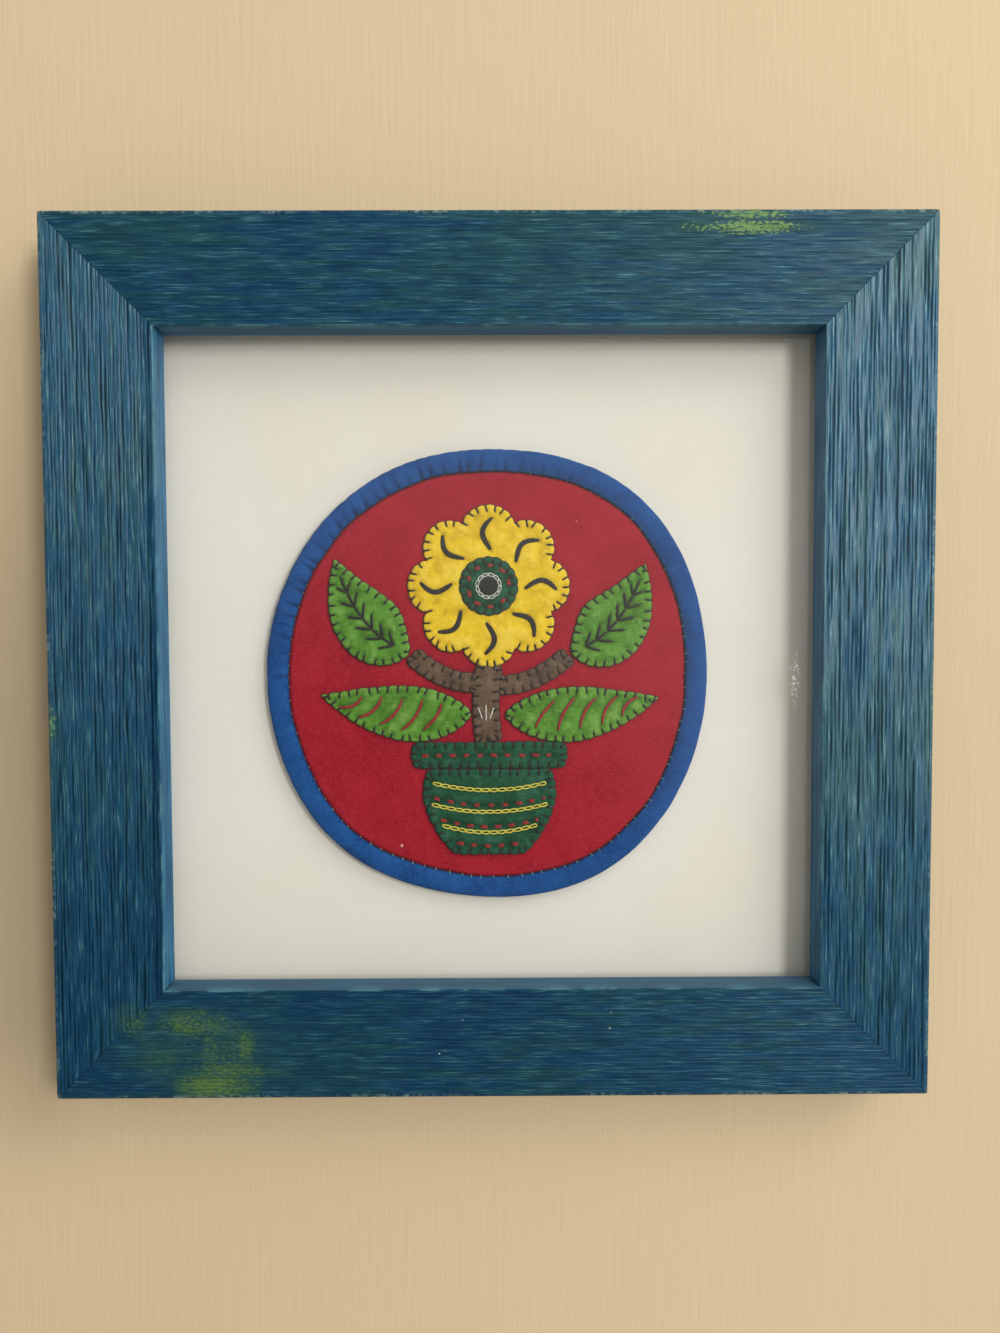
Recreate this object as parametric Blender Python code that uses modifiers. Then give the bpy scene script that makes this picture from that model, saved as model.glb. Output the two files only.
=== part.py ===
"""A square wooden picture frame that holds a round hand-stitched applique patch on white card, behind glass.

Metres, +Z up. The panel hangs upright and faces -Y. The wall is the plane y = 0, and the origin is the
middle of the top rail's back, where the panel bears on the wall.
"""

import math
from collections import namedtuple

import bmesh
import bpy
from mathutils import Matrix, Vector

MM = 0.001
GAP = 0.3 * MM  # between pieces that touch on the real panel

# Frame, measured outwards from its centre (half sizes) and back from the wall
OUTER_HALF = 131 * MM
SIGHT_HALF = 96.4 * MM
FACE_INNER_HALF = 97.2 * MM  # front edge of the smooth lip
GLASS_REBATE_HALF = 101.8 * MM
CARD_REBATE_HALF = 106.8 * MM
EDGE_THICKNESS = 22 * MM
FACE_RISE = 2.3 * MM  # the face stands this much prouder at the lip than at the outer edge
LIP_THICKNESS = 7.4 * MM
OUTER_ROUND = 1.0 * MM
LIP_ROUND = 0.6 * MM
ROUND_STEPS = 3
MITRE_GAP = GAP

# Combed grain: straight grooves along each rail's face
GROOVE_COUNT = 25
GROOVE_DEPTH = 0.35 * MM
GROOVE_MARGIN = 1.6 * MM  # smooth strip beside the lip and the outer edge

# What the frame holds, front to back
GLASS_THICKNESS = 2.0 * MM
PATCH_ROOM = 5.2 * MM  # from the glass to the back of the patch
CARD_THICKNESS = 1.4 * MM
BOARD_THICKNESS = 2.5 * MM

# Steel points that hold the board in the rails
POINT_THICKNESS = 0.7 * MM
POINT_LENGTH = 16 * MM
POINT_WIDTH = 9 * MM
POINT_BITE = 4 * MM
POINT_PLACES = (-48 * MM, 48 * MM)

# Patch, measured from its own centre; heights are above its back
PATCH_RIGHT = -0.8 * MM
PATCH_UP = -4.5 * MM
PATCH_RADIUS = 68.6 * MM
RIM_STEPS = 144
GROUND_INSET = 1.8 * MM
GROUND_HEIGHT = 1.3 * MM
GROUND_THICKNESS = 1.0 * MM
APPLIQUE_HEIGHT = GROUND_HEIGHT + GROUND_THICKNESS + GAP
APPLIQUE_THICKNESS = 1.2 * MM
BLOOM_THICKNESS = 1.0 * MM
SOFT_EDGE = 0.4 * MM

# The rim is cut by hand, so its radius swells and dips: waves around it, their height and where they peak
RimWave = namedtuple("RimWave", "count height_mm peak_deg")
RIM_WAVES = (
    RimWave(count=2, height_mm=0.92, peak_deg=155),
    RimWave(count=3, height_mm=0.55, peak_deg=180),
    RimWave(count=4, height_mm=0.89, peak_deg=171),
    RimWave(count=6, height_mm=0.26, peak_deg=-44),
)

# Section of the binding folded round the ground's edge
BindingPoint = namedtuple("BindingPoint", "inward_mm height_mm")
BINDING_SECTION = (
    BindingPoint(inward_mm=6.2, height_mm=0.0),
    BindingPoint(inward_mm=1.0, height_mm=0.0),
    BindingPoint(inward_mm=0.3, height_mm=0.4),
    BindingPoint(inward_mm=0.0, height_mm=1.2),
    BindingPoint(inward_mm=0.0, height_mm=2.4),
    BindingPoint(inward_mm=0.35, height_mm=3.2),
    BindingPoint(inward_mm=1.2, height_mm=3.65),
    BindingPoint(inward_mm=3.0, height_mm=3.8),
    BindingPoint(inward_mm=4.8, height_mm=3.7),
    BindingPoint(inward_mm=6.1, height_mm=3.3),
    BindingPoint(inward_mm=6.5, height_mm=2.6),
    BindingPoint(inward_mm=1.5, height_mm=2.6),
    BindingPoint(inward_mm=1.5, height_mm=1.0),
    BindingPoint(inward_mm=6.2, height_mm=1.0),
)
GATHER_COUNT = 36
GATHER_DEPTH = 0.32 * MM
GATHER_PEAK = math.radians(135)  # the binding is gathered most at the upper left

# Cut cloth shapes with a curved centre line, in mm from the patch's centre: right and up
Strip = namedtuple("Strip", "name start bend end width leaf cloth")
STRIPS = (
    Strip("stem", (0, -19.4), (-2.0, -9.0), (0.3, 1.6), 8.0, False, "brown_cloth"),
    Strip("branch_left", (-5.2, -2.0), (-14.5, -2.4), (-22.6, 5.4), 5.8, False, "brown_cloth"),
    Strip("branch_right", (4.7, -2.9), (15.0, -3.0), (23.4, 5.4), 5.8, False, "brown_cloth"),
    Strip("leaf_low_left", (-5.5, -11.6), (-27.0, -14.0), (-51.0, -6.0), 16.8, True, "light_green_cloth"),
    Strip("leaf_low_right", (4.9, -12.0), (28.0, -14.2), (51.5, -7.0), 16.6, True, "light_green_cloth"),
    Strip("leaf_high_left", (-24.2, 7.0), (-40.0, 12.5), (-46.5, 35.0), 20.0, True, "light_green_cloth"),
    Strip("leaf_high_right", (25.0, 7.0), (41.0, 11.5), (47.5, 33.5), 20.6, True, "light_green_cloth"),
)
STRIP_STEPS = 12
LEAF_FULLNESS = 0.8  # below 1 the leaf is widest nearer its stalk

BLOOM_CENTRE = (0 * MM, 27 * MM)
BLOOM_PETALS = 8
BLOOM_RADIUS = 24.6 * MM
BLOOM_NOTCH = 19.8 * MM
BLOOM_STEPS_PER_PETAL = 8
HEART_RADIUS = 8.8 * MM
HEART_STEPS = 28

# Pot: half widths up its side, in mm
PotRow = namedtuple("PotRow", "up_mm half_mm")
POT_ROWS = (
    PotRow(up_mm=-55.0, half_mm=9.6),
    PotRow(up_mm=-54.1, half_mm=12.0),
    PotRow(up_mm=-49.5, half_mm=15.4),
    PotRow(up_mm=-43.5, half_mm=18.6),
    PotRow(up_mm=-37.5, half_mm=20.3),
    PotRow(up_mm=-32.5, half_mm=19.9),
    PotRow(up_mm=-28.9, half_mm=18.6),
)
POT_RIM_ROWS = (
    PotRow(up_mm=-28.5, half_mm=22.0),
    PotRow(up_mm=-27.7, half_mm=23.3),
    PotRow(up_mm=-24.5, half_mm=23.9),
    PotRow(up_mm=-21.4, half_mm=23.3),
    PotRow(up_mm=-20.6, half_mm=22.0),
)

# Places worked out from the sizes above; y is negative towards the viewer
FACE_INNER_Y = -EDGE_THICKNESS - FACE_RISE
GLASS_SEAT_Y = FACE_INNER_Y + LIP_THICKNESS
GLASS_BACK_Y = GLASS_SEAT_Y + GAP + GLASS_THICKNESS
PATCH_BACK_Y = GLASS_BACK_Y + PATCH_ROOM
CARD_SEAT_Y = PATCH_BACK_Y
CARD_FRONT_Y = CARD_SEAT_Y + GAP
BOARD_FRONT_Y = CARD_FRONT_Y + CARD_THICKNESS + GAP
POINT_FRONT_Y = BOARD_FRONT_Y + BOARD_THICKNESS + GAP
CENTRE_Z = -(CARD_REBATE_HALF + OUTER_HALF) / 2

COLOURS = {
    "painted_wood": ((0.028, 0.115, 0.215), 0.62, 0.0),
    "clear_glass": ((0.82, 0.88, 0.86), 0.05, 0.0),
    "white_card": ((0.74, 0.71, 0.67), 0.85, 0.0),
    "brown_board": ((0.26, 0.17, 0.10), 0.8, 0.0),
    "steel": ((0.55, 0.55, 0.56), 0.35, 1.0),
    "red_cloth": ((0.36, 0.012, 0.028), 0.9, 0.0),
    "blue_cloth": ((0.018, 0.055, 0.33), 0.9, 0.0),
    "yellow_cloth": ((0.80, 0.60, 0.03), 0.9, 0.0),
    "light_green_cloth": ((0.09, 0.30, 0.03), 0.9, 0.0),
    "dark_green_cloth": ((0.012, 0.11, 0.055), 0.9, 0.0),
    "brown_cloth": ((0.11, 0.06, 0.04), 0.9, 0.0),
}


def clear_scene():
    """Removes what the file opened with."""
    for item in list(bpy.data.objects):
        bpy.data.objects.remove(item, do_unlink=True)


def new_collection(name):
    """A collection linked under the scene."""
    collection = bpy.data.collections.new(name)
    bpy.context.scene.collection.children.link(collection)
    return collection


def make_material(name):
    """A Principled material with one of the part's colours."""
    colour, roughness, metallic = COLOURS[name]
    material = bpy.data.materials.new(name)
    material.use_nodes = True
    shader = material.node_tree.nodes["Principled BSDF"]
    shader.inputs["Base Color"].default_value = (*colour, 1.0)
    shader.inputs["Roughness"].default_value = roughness
    shader.inputs["Metallic"].default_value = metallic
    return material


def add_object(name, data, collection, material):
    """An object of that data in the collection, with its own copy of the material."""
    item = bpy.data.objects.new(name, data)
    collection.objects.link(item)
    if material:
        data.materials.append(make_material(material))
    return item


def mesh_from(bm, name):
    """Turns a bmesh into a mesh with its faces pointing out."""
    bmesh.ops.recalc_face_normals(bm, faces=bm.faces)
    mesh = bpy.data.meshes.new(name)
    bm.to_mesh(mesh)
    bm.free()
    return mesh


def box(name, collection, material, size, centre):
    """A box of that size about a centre."""
    bm = bmesh.new()
    bmesh.ops.create_cube(bm, size=1.0)
    bmesh.ops.scale(bm, vec=Vector(size), verts=bm.verts)
    item = add_object(name, mesh_from(bm, name), collection, material)
    item.location = centre
    return item


def face_y(half):
    """Depth of the rail's sloping face at a distance from the frame's centre."""
    share = (OUTER_HALF - half) / (OUTER_HALF - FACE_INNER_HALF)
    return -EDGE_THICKNESS - FACE_RISE * share


def groove_depth(number):
    """Comb depth of one groove; the teeth bite unevenly."""
    return GROOVE_DEPTH * (1 + 0.25 * math.sin(2.4 * number) + 0.2 * math.sin(0.9 * number + 1.0))


def rail_profile():
    """Points (distance from the frame's centre, y) round a rail's section, from the back outer edge."""
    points = [(OUTER_HALF, 0.0)]
    for step in range(ROUND_STEPS + 1):
        turn = math.pi / 2 * step / ROUND_STEPS
        points.append((
            OUTER_HALF - OUTER_ROUND * (1 - math.cos(turn)),
            face_y(OUTER_HALF) + OUTER_ROUND * (1 - math.sin(turn)),
        ))
    first = OUTER_HALF - GROOVE_MARGIN
    pitch = (first - FACE_INNER_HALF - GROOVE_MARGIN) / GROOVE_COUNT
    for number in range(GROOVE_COUNT):
        crest = first - pitch * number
        groove = crest - pitch / 2
        points.append((crest, face_y(crest)))
        points.append((groove, face_y(groove) + groove_depth(number)))
    last_crest = first - pitch * GROOVE_COUNT
    points.append((last_crest, face_y(last_crest)))
    for step in range(ROUND_STEPS + 1):
        turn = math.pi / 2 * step / ROUND_STEPS
        points.append((
            FACE_INNER_HALF + LIP_ROUND * (1 - math.sin(turn)),
            FACE_INNER_Y + LIP_ROUND * (1 - math.cos(turn)),
        ))
    points += [
        (SIGHT_HALF, GLASS_SEAT_Y),
        (GLASS_REBATE_HALF, GLASS_SEAT_Y),
        (GLASS_REBATE_HALF, CARD_SEAT_Y),
        (CARD_REBATE_HALF, CARD_SEAT_Y),
        (CARD_REBATE_HALF, 0.0),
    ]
    return points


def make_rail(name, turn, parts, cutters):
    """One mitred rail. Its section is drawn at the left mitre and drawn out to the right one."""
    play = MITRE_GAP / 2 * math.sqrt(2)
    bm = bmesh.new()
    section = [bm.verts.new((-(half - play), y, half)) for half, y in rail_profile()]
    end = bm.faces.new(section)
    drawn = bmesh.ops.extrude_face_region(bm, geom=[end])["geom"]
    for corner in drawn:
        if isinstance(corner, bmesh.types.BMVert):
            corner.co.x = -corner.co.x
    rail = add_object(name, mesh_from(bm, name), parts, "painted_wood")
    rail.location = (0, 0, CENTRE_Z)
    rail.rotation_euler = (0, turn, 0)
    for number, place in enumerate(POINT_PLACES):
        slot = box(
            f"{name}_slot_{number}",
            cutters,
            None,
            (POINT_WIDTH + 2 * GAP, POINT_THICKNESS + 2 * GAP, 2 * (POINT_BITE + GAP)),
            (place, POINT_FRONT_Y + POINT_THICKNESS / 2, CARD_REBATE_HALF),
        )
        slot.parent = rail
        slot.hide_render = True
        slot.display_type = "WIRE"
        cut = rail.modifiers.new(f"slot_{number}", "BOOLEAN")
        cut.operation = "DIFFERENCE"
        cut.solver = "EXACT"
        cut.object = slot
    return rail


def make_point(name, turn, place, parts):
    """One steel point that lies on the board and bites into its rail."""
    reach = CARD_REBATE_HALF + POINT_BITE - POINT_LENGTH / 2
    point = box(
        name,
        parts,
        "steel",
        (POINT_WIDTH, POINT_THICKNESS, POINT_LENGTH),
        (0, 0, 0),
    )
    spin = Matrix.Rotation(turn, 4, "Y")
    seat = Matrix.Translation((place, POINT_FRONT_Y + POINT_THICKNESS / 2, reach))
    point.matrix_world = Matrix.Translation((0, 0, CENTRE_Z)) @ spin @ seat
    return point


def rim_radius(angle):
    """Radius of the patch's uneven outer edge."""
    swell = sum(
        wave.height_mm * math.cos(wave.count * angle - math.radians(wave.peak_deg))
        for wave in RIM_WAVES
    )
    return PATCH_RADIUS + swell * MM


def gather(angle):
    """How far a gathered crease sinks the binding's front; creases are deepest at the upper left."""
    reach = 0.35 + 0.65 * (0.5 + 0.5 * math.cos(angle - GATHER_PEAK)) ** 2
    wave = 0.5 - 0.5 * math.cos(GATHER_COUNT * angle + 0.8 * math.sin(5 * angle))
    return GATHER_DEPTH * reach * wave


def ring_outline(inset, steps):
    """Points of the patch's edge moved inwards by the inset."""
    turns = [2 * math.pi * step / steps for step in range(steps)]
    return [
        ((rim_radius(turn) - inset) * math.cos(turn), (rim_radius(turn) - inset) * math.sin(turn))
        for turn in turns
    ]


def curve_point(start, bend, end, share):
    """Point and sideways direction on a centre line with one bend, in metres."""
    a, b, c = (Vector(point) * MM for point in (start, bend, end))
    place = a * (1 - share) ** 2 + b * 2 * share * (1 - share) + c * share ** 2
    along = (b - a) * (1 - share) + (c - b) * share
    side = Vector((-along.y, along.x)).normalized()
    return place, side


def half_width(strip, share):
    """Half the strip's width: even on a stem, swelling and pointed on a leaf."""
    if not strip.leaf:
        return strip.width / 2 * MM
    return strip.width / 2 * MM * math.sin(math.pi * share ** LEAF_FULLNESS) ** 0.85


def strip_outline(strip):
    """Outline of a leaf or stem: up one side of its centre line and back down the other."""
    first = 1 if strip.leaf else 0
    shares = [step / STRIP_STEPS for step in range(first, STRIP_STEPS + 1 - first)]
    up_side, down_side = [], []
    for share in shares:
        place, side = curve_point(strip.start, strip.bend, strip.end, share)
        reach = side * half_width(strip, share)
        up_side.append(place + reach)
        down_side.append(place - reach)
    tips = [Vector(strip.end) * MM], [Vector(strip.start) * MM]
    if not strip.leaf:
        tips = [], []
    return [tuple(p) for p in up_side + tips[0] + down_side[::-1] + tips[1]]


def bloom_outline():
    """Scalloped flower outline: round petals with a notch between each two."""
    points = []
    steps = BLOOM_PETALS * BLOOM_STEPS_PER_PETAL
    for step in range(steps):
        turn = 2 * math.pi * step / steps
        lobe = abs(math.cos(BLOOM_PETALS / 2 * turn)) ** 0.6
        radius = BLOOM_NOTCH + (BLOOM_RADIUS - BLOOM_NOTCH) * lobe
        points.append((BLOOM_CENTRE[0] + radius * math.cos(turn), BLOOM_CENTRE[1] + radius * math.sin(turn)))
    return points


def heart_outline():
    """Round centre of the flower."""
    turns = [2 * math.pi * step / HEART_STEPS for step in range(HEART_STEPS)]
    return [
        (BLOOM_CENTRE[0] + HEART_RADIUS * math.cos(t), BLOOM_CENTRE[1] + HEART_RADIUS * math.sin(t))
        for t in turns
    ]


def rows_outline(rows):
    """Outline of a shape that is the same on both sides, from its half widths."""
    right = [(row.half_mm * MM, row.up_mm * MM) for row in rows]
    left = [(-half, up) for half, up in reversed(right)]
    return right + left


def cloth_piece(name, outline, height, thickness, material, parts):
    """A cut piece of cloth: a flat outline with soft turned edges, its back at a height on the patch."""
    curve = bpy.data.curves.new(name, "CURVE")
    curve.dimensions = "2D"
    curve.fill_mode = "BOTH"
    curve.extrude = thickness / 2
    spline = curve.splines.new("POLY")
    spline.points.add(len(outline) - 1)
    for point, (right, up) in zip(spline.points, outline):
        point.co = (right, up, 0, 1)
    spline.use_cyclic_u = True
    piece = add_object(name, curve, parts, material)
    piece.location = (PATCH_RIGHT, PATCH_BACK_Y - height - thickness / 2, CENTRE_Z + PATCH_UP)
    piece.rotation_euler = (math.pi / 2, 0, 0)
    weld = piece.modifiers.new("close_caps", "WELD")
    weld.merge_threshold = 0.00001
    bevel = piece.modifiers.new("soft_edge", "BEVEL")
    bevel.width = SOFT_EDGE
    bevel.segments = 2
    bevel.limit_method = "ANGLE"
    bevel.angle_limit = math.radians(70)
    return piece


def make_binding(parts):
    """The blue strip folded round the ground's edge: its section is lofted round the uneven rim."""
    bm = bmesh.new()
    rings = []
    for step in range(RIM_STEPS):
        turn = 2 * math.pi * step / RIM_STEPS
        ring = []
        for point in BINDING_SECTION:
            radius = rim_radius(turn) - point.inward_mm * MM
            height = point.height_mm * MM
            if point.height_mm > 3.0:
                height -= gather(turn)
            ring.append(bm.verts.new((radius * math.cos(turn), -height, radius * math.sin(turn))))
        rings.append(ring)
    for ring, following in zip(rings, rings[1:] + rings[:1]):
        for corner in range(len(ring)):
            after = (corner + 1) % len(ring)
            bm.faces.new((ring[corner], ring[after], following[after], following[corner]))
    mesh = mesh_from(bm, "binding")
    mesh.shade_smooth()
    mesh.set_sharp_from_angle(angle=math.radians(50))
    binding = add_object("binding", mesh, parts, "blue_cloth")
    binding.location = (PATCH_RIGHT, PATCH_BACK_Y, CENTRE_Z + PATCH_UP)
    return binding


def make_sheet(name, material, half, front_y, thickness, parts):
    """A flat square pane, card or board behind the rails."""
    size = (2 * half, thickness, 2 * half)
    return box(name, parts, material, size, (0, front_y + thickness / 2, CENTRE_Z))


def main():
    """Builds every piece of the panel."""
    clear_scene()
    parts = new_collection("framed_applique_panel")
    cutters = new_collection("cutters")
    sides = (("top", 0), ("right", math.pi / 2), ("bottom", math.pi), ("left", -math.pi / 2))
    for side, turn in sides:
        make_rail(f"rail_{side}", turn, parts, cutters)
        for number, place in enumerate(POINT_PLACES):
            make_point(f"point_{side}_{number + 1}", turn, place, parts)
    glass_half = GLASS_REBATE_HALF - GAP
    card_half = CARD_REBATE_HALF - GAP
    make_sheet("glass_pane", "clear_glass", glass_half, GLASS_SEAT_Y + GAP, GLASS_THICKNESS, parts)
    make_sheet("mount_card", "white_card", card_half, CARD_FRONT_Y, CARD_THICKNESS, parts)
    make_sheet("backing_board", "brown_board", card_half, BOARD_FRONT_Y, BOARD_THICKNESS, parts)
    ground = ring_outline(GROUND_INSET, RIM_STEPS)
    cloth_piece("ground", ground, GROUND_HEIGHT, GROUND_THICKNESS, "red_cloth", parts)
    make_binding(parts)
    for strip in STRIPS:
        outline = strip_outline(strip)
        cloth_piece(strip.name, outline, APPLIQUE_HEIGHT, APPLIQUE_THICKNESS, strip.cloth, parts)
    pot_pieces = (("pot", POT_ROWS), ("pot_rim", POT_RIM_ROWS))
    for name, rows in pot_pieces:
        outline = rows_outline(rows)
        cloth_piece(name, outline, APPLIQUE_HEIGHT, APPLIQUE_THICKNESS, "dark_green_cloth", parts)
    cloth_piece("bloom", bloom_outline(), APPLIQUE_HEIGHT, BLOOM_THICKNESS, "yellow_cloth", parts)
    heart_height = APPLIQUE_HEIGHT + BLOOM_THICKNESS + GAP
    cloth_piece("bloom_heart", heart_outline(), heart_height, BLOOM_THICKNESS, "dark_green_cloth", parts)


main()
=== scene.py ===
"""Looks of a square combed-wood picture frame that holds a round hand-stitched applique patch behind glass.

Metres, +Z up, the panel faces -Y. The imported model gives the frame, and every new piece is worked out here as
whole numpy arrays: a grid over two parameters, or a thread's section carried along its path.
"""

from __future__ import annotations

import logging
import math
from dataclasses import dataclass, field
from enum import Enum
from typing import Sequence

import bmesh
import bpy
import numpy as np
from mathutils import Euler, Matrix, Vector

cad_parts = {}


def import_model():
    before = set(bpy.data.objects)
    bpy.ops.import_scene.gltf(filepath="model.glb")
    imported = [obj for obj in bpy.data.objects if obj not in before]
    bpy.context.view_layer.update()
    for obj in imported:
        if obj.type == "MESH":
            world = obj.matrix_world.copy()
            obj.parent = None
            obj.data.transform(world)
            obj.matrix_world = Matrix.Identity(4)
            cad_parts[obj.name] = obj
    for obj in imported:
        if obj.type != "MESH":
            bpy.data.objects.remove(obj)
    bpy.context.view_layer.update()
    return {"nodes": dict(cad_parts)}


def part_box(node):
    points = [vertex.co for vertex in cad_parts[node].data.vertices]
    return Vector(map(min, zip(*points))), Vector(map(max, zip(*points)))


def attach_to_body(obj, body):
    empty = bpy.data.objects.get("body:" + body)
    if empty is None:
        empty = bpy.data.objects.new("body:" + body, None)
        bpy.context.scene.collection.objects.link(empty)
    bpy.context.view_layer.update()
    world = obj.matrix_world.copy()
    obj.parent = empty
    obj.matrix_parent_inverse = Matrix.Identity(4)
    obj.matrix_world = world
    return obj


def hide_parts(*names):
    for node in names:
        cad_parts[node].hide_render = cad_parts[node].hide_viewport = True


Array = np.ndarray
Piece = bpy.types.Object
Socket = bpy.types.NodeSocket
Material = bpy.types.Material
Colour = tuple[float, float, float]
MM = 0.001
BODY = "root"
TURN = 2 * math.pi
VIEWER = np.array([0.0, -1.0, 0.0])
log = logging.getLogger("panel")


class Side(Enum):
    """The four rails, each with its turn about +Y from the top one."""

    TOP = 0.0
    RIGHT = 0.25
    BOTTOM = 0.5
    LEFT = 0.75


# Shapes as arrays


def soft_noise(across: Array, along: Array, seed: int) -> Array:
    """Smooth noise: random numbers on a repeating unit lattice, blended with the ease 3t^2 - 2t^3.

    Args:
        across: first coordinate, in lattice steps.
        along: second coordinate, in lattice steps.
        seed: picks the lattice.

    Returns:
        Values from 0 to 1, of the coordinates' common shape.
    """
    count = 257
    lattice = np.random.default_rng(seed).random((count, count))
    cell_a, cell_b = np.floor(across).astype(int), np.floor(along).astype(int)
    a, b = across - cell_a, along - cell_b
    a, b = a * a * (3 - 2 * a), b * b * (3 - 2 * b)
    low, high = cell_a % count, (cell_a + 1) % count
    near, far = cell_b % count, (cell_b + 1) % count
    first = lattice[low, near] * (1 - a) + lattice[high, near] * a
    second = lattice[low, far] * (1 - a) + lattice[high, far] * a
    return first * (1 - b) + second * b


def nearest(points: Array, samples: Array) -> Array:
    """Distance from each point to the nearest sample, by blocks of whole arrays.

    Args:
        points: (n, 2) places.
        samples: (m, 2) places to measure to.

    Returns:
        (n,) distances.
    """
    blocks = np.array_split(points, max(1, len(points) * len(samples) // 4_000_000 + 1))
    return np.concatenate([
        np.sqrt(((block[:, None] - samples[None]) ** 2).sum(2).min(1)) for block in blocks
    ])


def resample(line: Array, count: int) -> Array:
    """The same path with evenly spaced points.

    Args:
        line: (n, 2) or (n, 3) points.
        count: how many points to return.

    Returns:
        (count, same) points, the ends kept.
    """
    steps = np.linalg.norm(np.diff(line, axis=0), axis=1)
    length = np.concatenate([[0], np.cumsum(steps)])
    places = np.linspace(0, length[-1], count)
    return np.stack([np.interp(places, length, line[:, k]) for k in range(line.shape[1])], 1)


def bell(gap: Array, width: float) -> Array:
    """A smooth hump, 1 where the gap is 0: exp(-(gap / width)^2)."""
    return np.exp(-(gap / width) ** 2)


def spokes(angle: Array) -> Array:
    """Unit directions at the angles: (cos, sin)."""
    return np.stack([np.cos(angle), np.sin(angle)], -1)


def path_length(line: Array) -> float:
    """Length of a path of points."""
    return float(np.linalg.norm(np.diff(line, axis=0), axis=1).sum())


def bend_line(start: Sequence[float], bend: Sequence[float], end: Sequence[float], share: Array) -> Array:
    """Quadratic curve: (1-t)^2 start + 2t(1-t) bend + t^2 end.

    Args:
        start: first point.
        bend: point that pulls the middle.
        end: last point.
        share: the values of t.

    Returns:
        (n, 2) points, in the units of the inputs.
    """
    t = share[:, None]
    a, b, c = (np.asarray(p, float) for p in (start, bend, end))
    return (1 - t) ** 2 * a + 2 * t * (1 - t) * b + t ** 2 * c


def sideways(line: Array) -> Array:
    """Unit normals of a flat path: its run (x, y) turned left to (-y, x).

    Args:
        line: (n, 2) points.

    Returns:
        (n, 2) normals.
    """
    run = np.gradient(line, axis=0)
    normal = np.stack([-run[:, 1], run[:, 0]], 1)
    return normal / np.linalg.norm(normal, axis=1, keepdims=True)


def along_path(fine: Array, length: float, along: Array, across: Array) -> Array:
    """Places beside a path: its point at a distance along it, plus the distance across times its normal.

    Args:
        fine: (n, 2) evenly spaced points of the path.
        length: the path's length, to which the distances along it refer.
        along: distances along the path.
        across: distances to the left of the path.

    Returns:
        Places, of the distances' shape and 2.
    """
    side = sideways(fine)
    place = np.linspace(0, length, len(fine))
    return np.stack([
        np.interp(along, place, fine[:, k]) + across * np.interp(along, place, side[:, k]) for k in range(2)
    ], 2)


def thread_frame(lines: Array) -> tuple[Array, Array, Array]:
    """Directions square to each thread's run: side = run x viewer, lift = side x run, both of unit length.

    Args:
        lines: (threads, points, 3) paths.

    Returns:
        Side and lift at each point, and the length of thread up to it.
    """
    run = np.gradient(lines, axis=1)
    run /= np.linalg.norm(run, axis=2, keepdims=True) + 1e-12
    side = np.cross(run, VIEWER)
    side /= np.linalg.norm(side, axis=2, keepdims=True) + 1e-9
    length = np.zeros(lines.shape[:2])
    length[:, 1:] = np.cumsum(np.linalg.norm(np.diff(lines, axis=1), axis=2), axis=1)
    return side, np.cross(side, run), length


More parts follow.
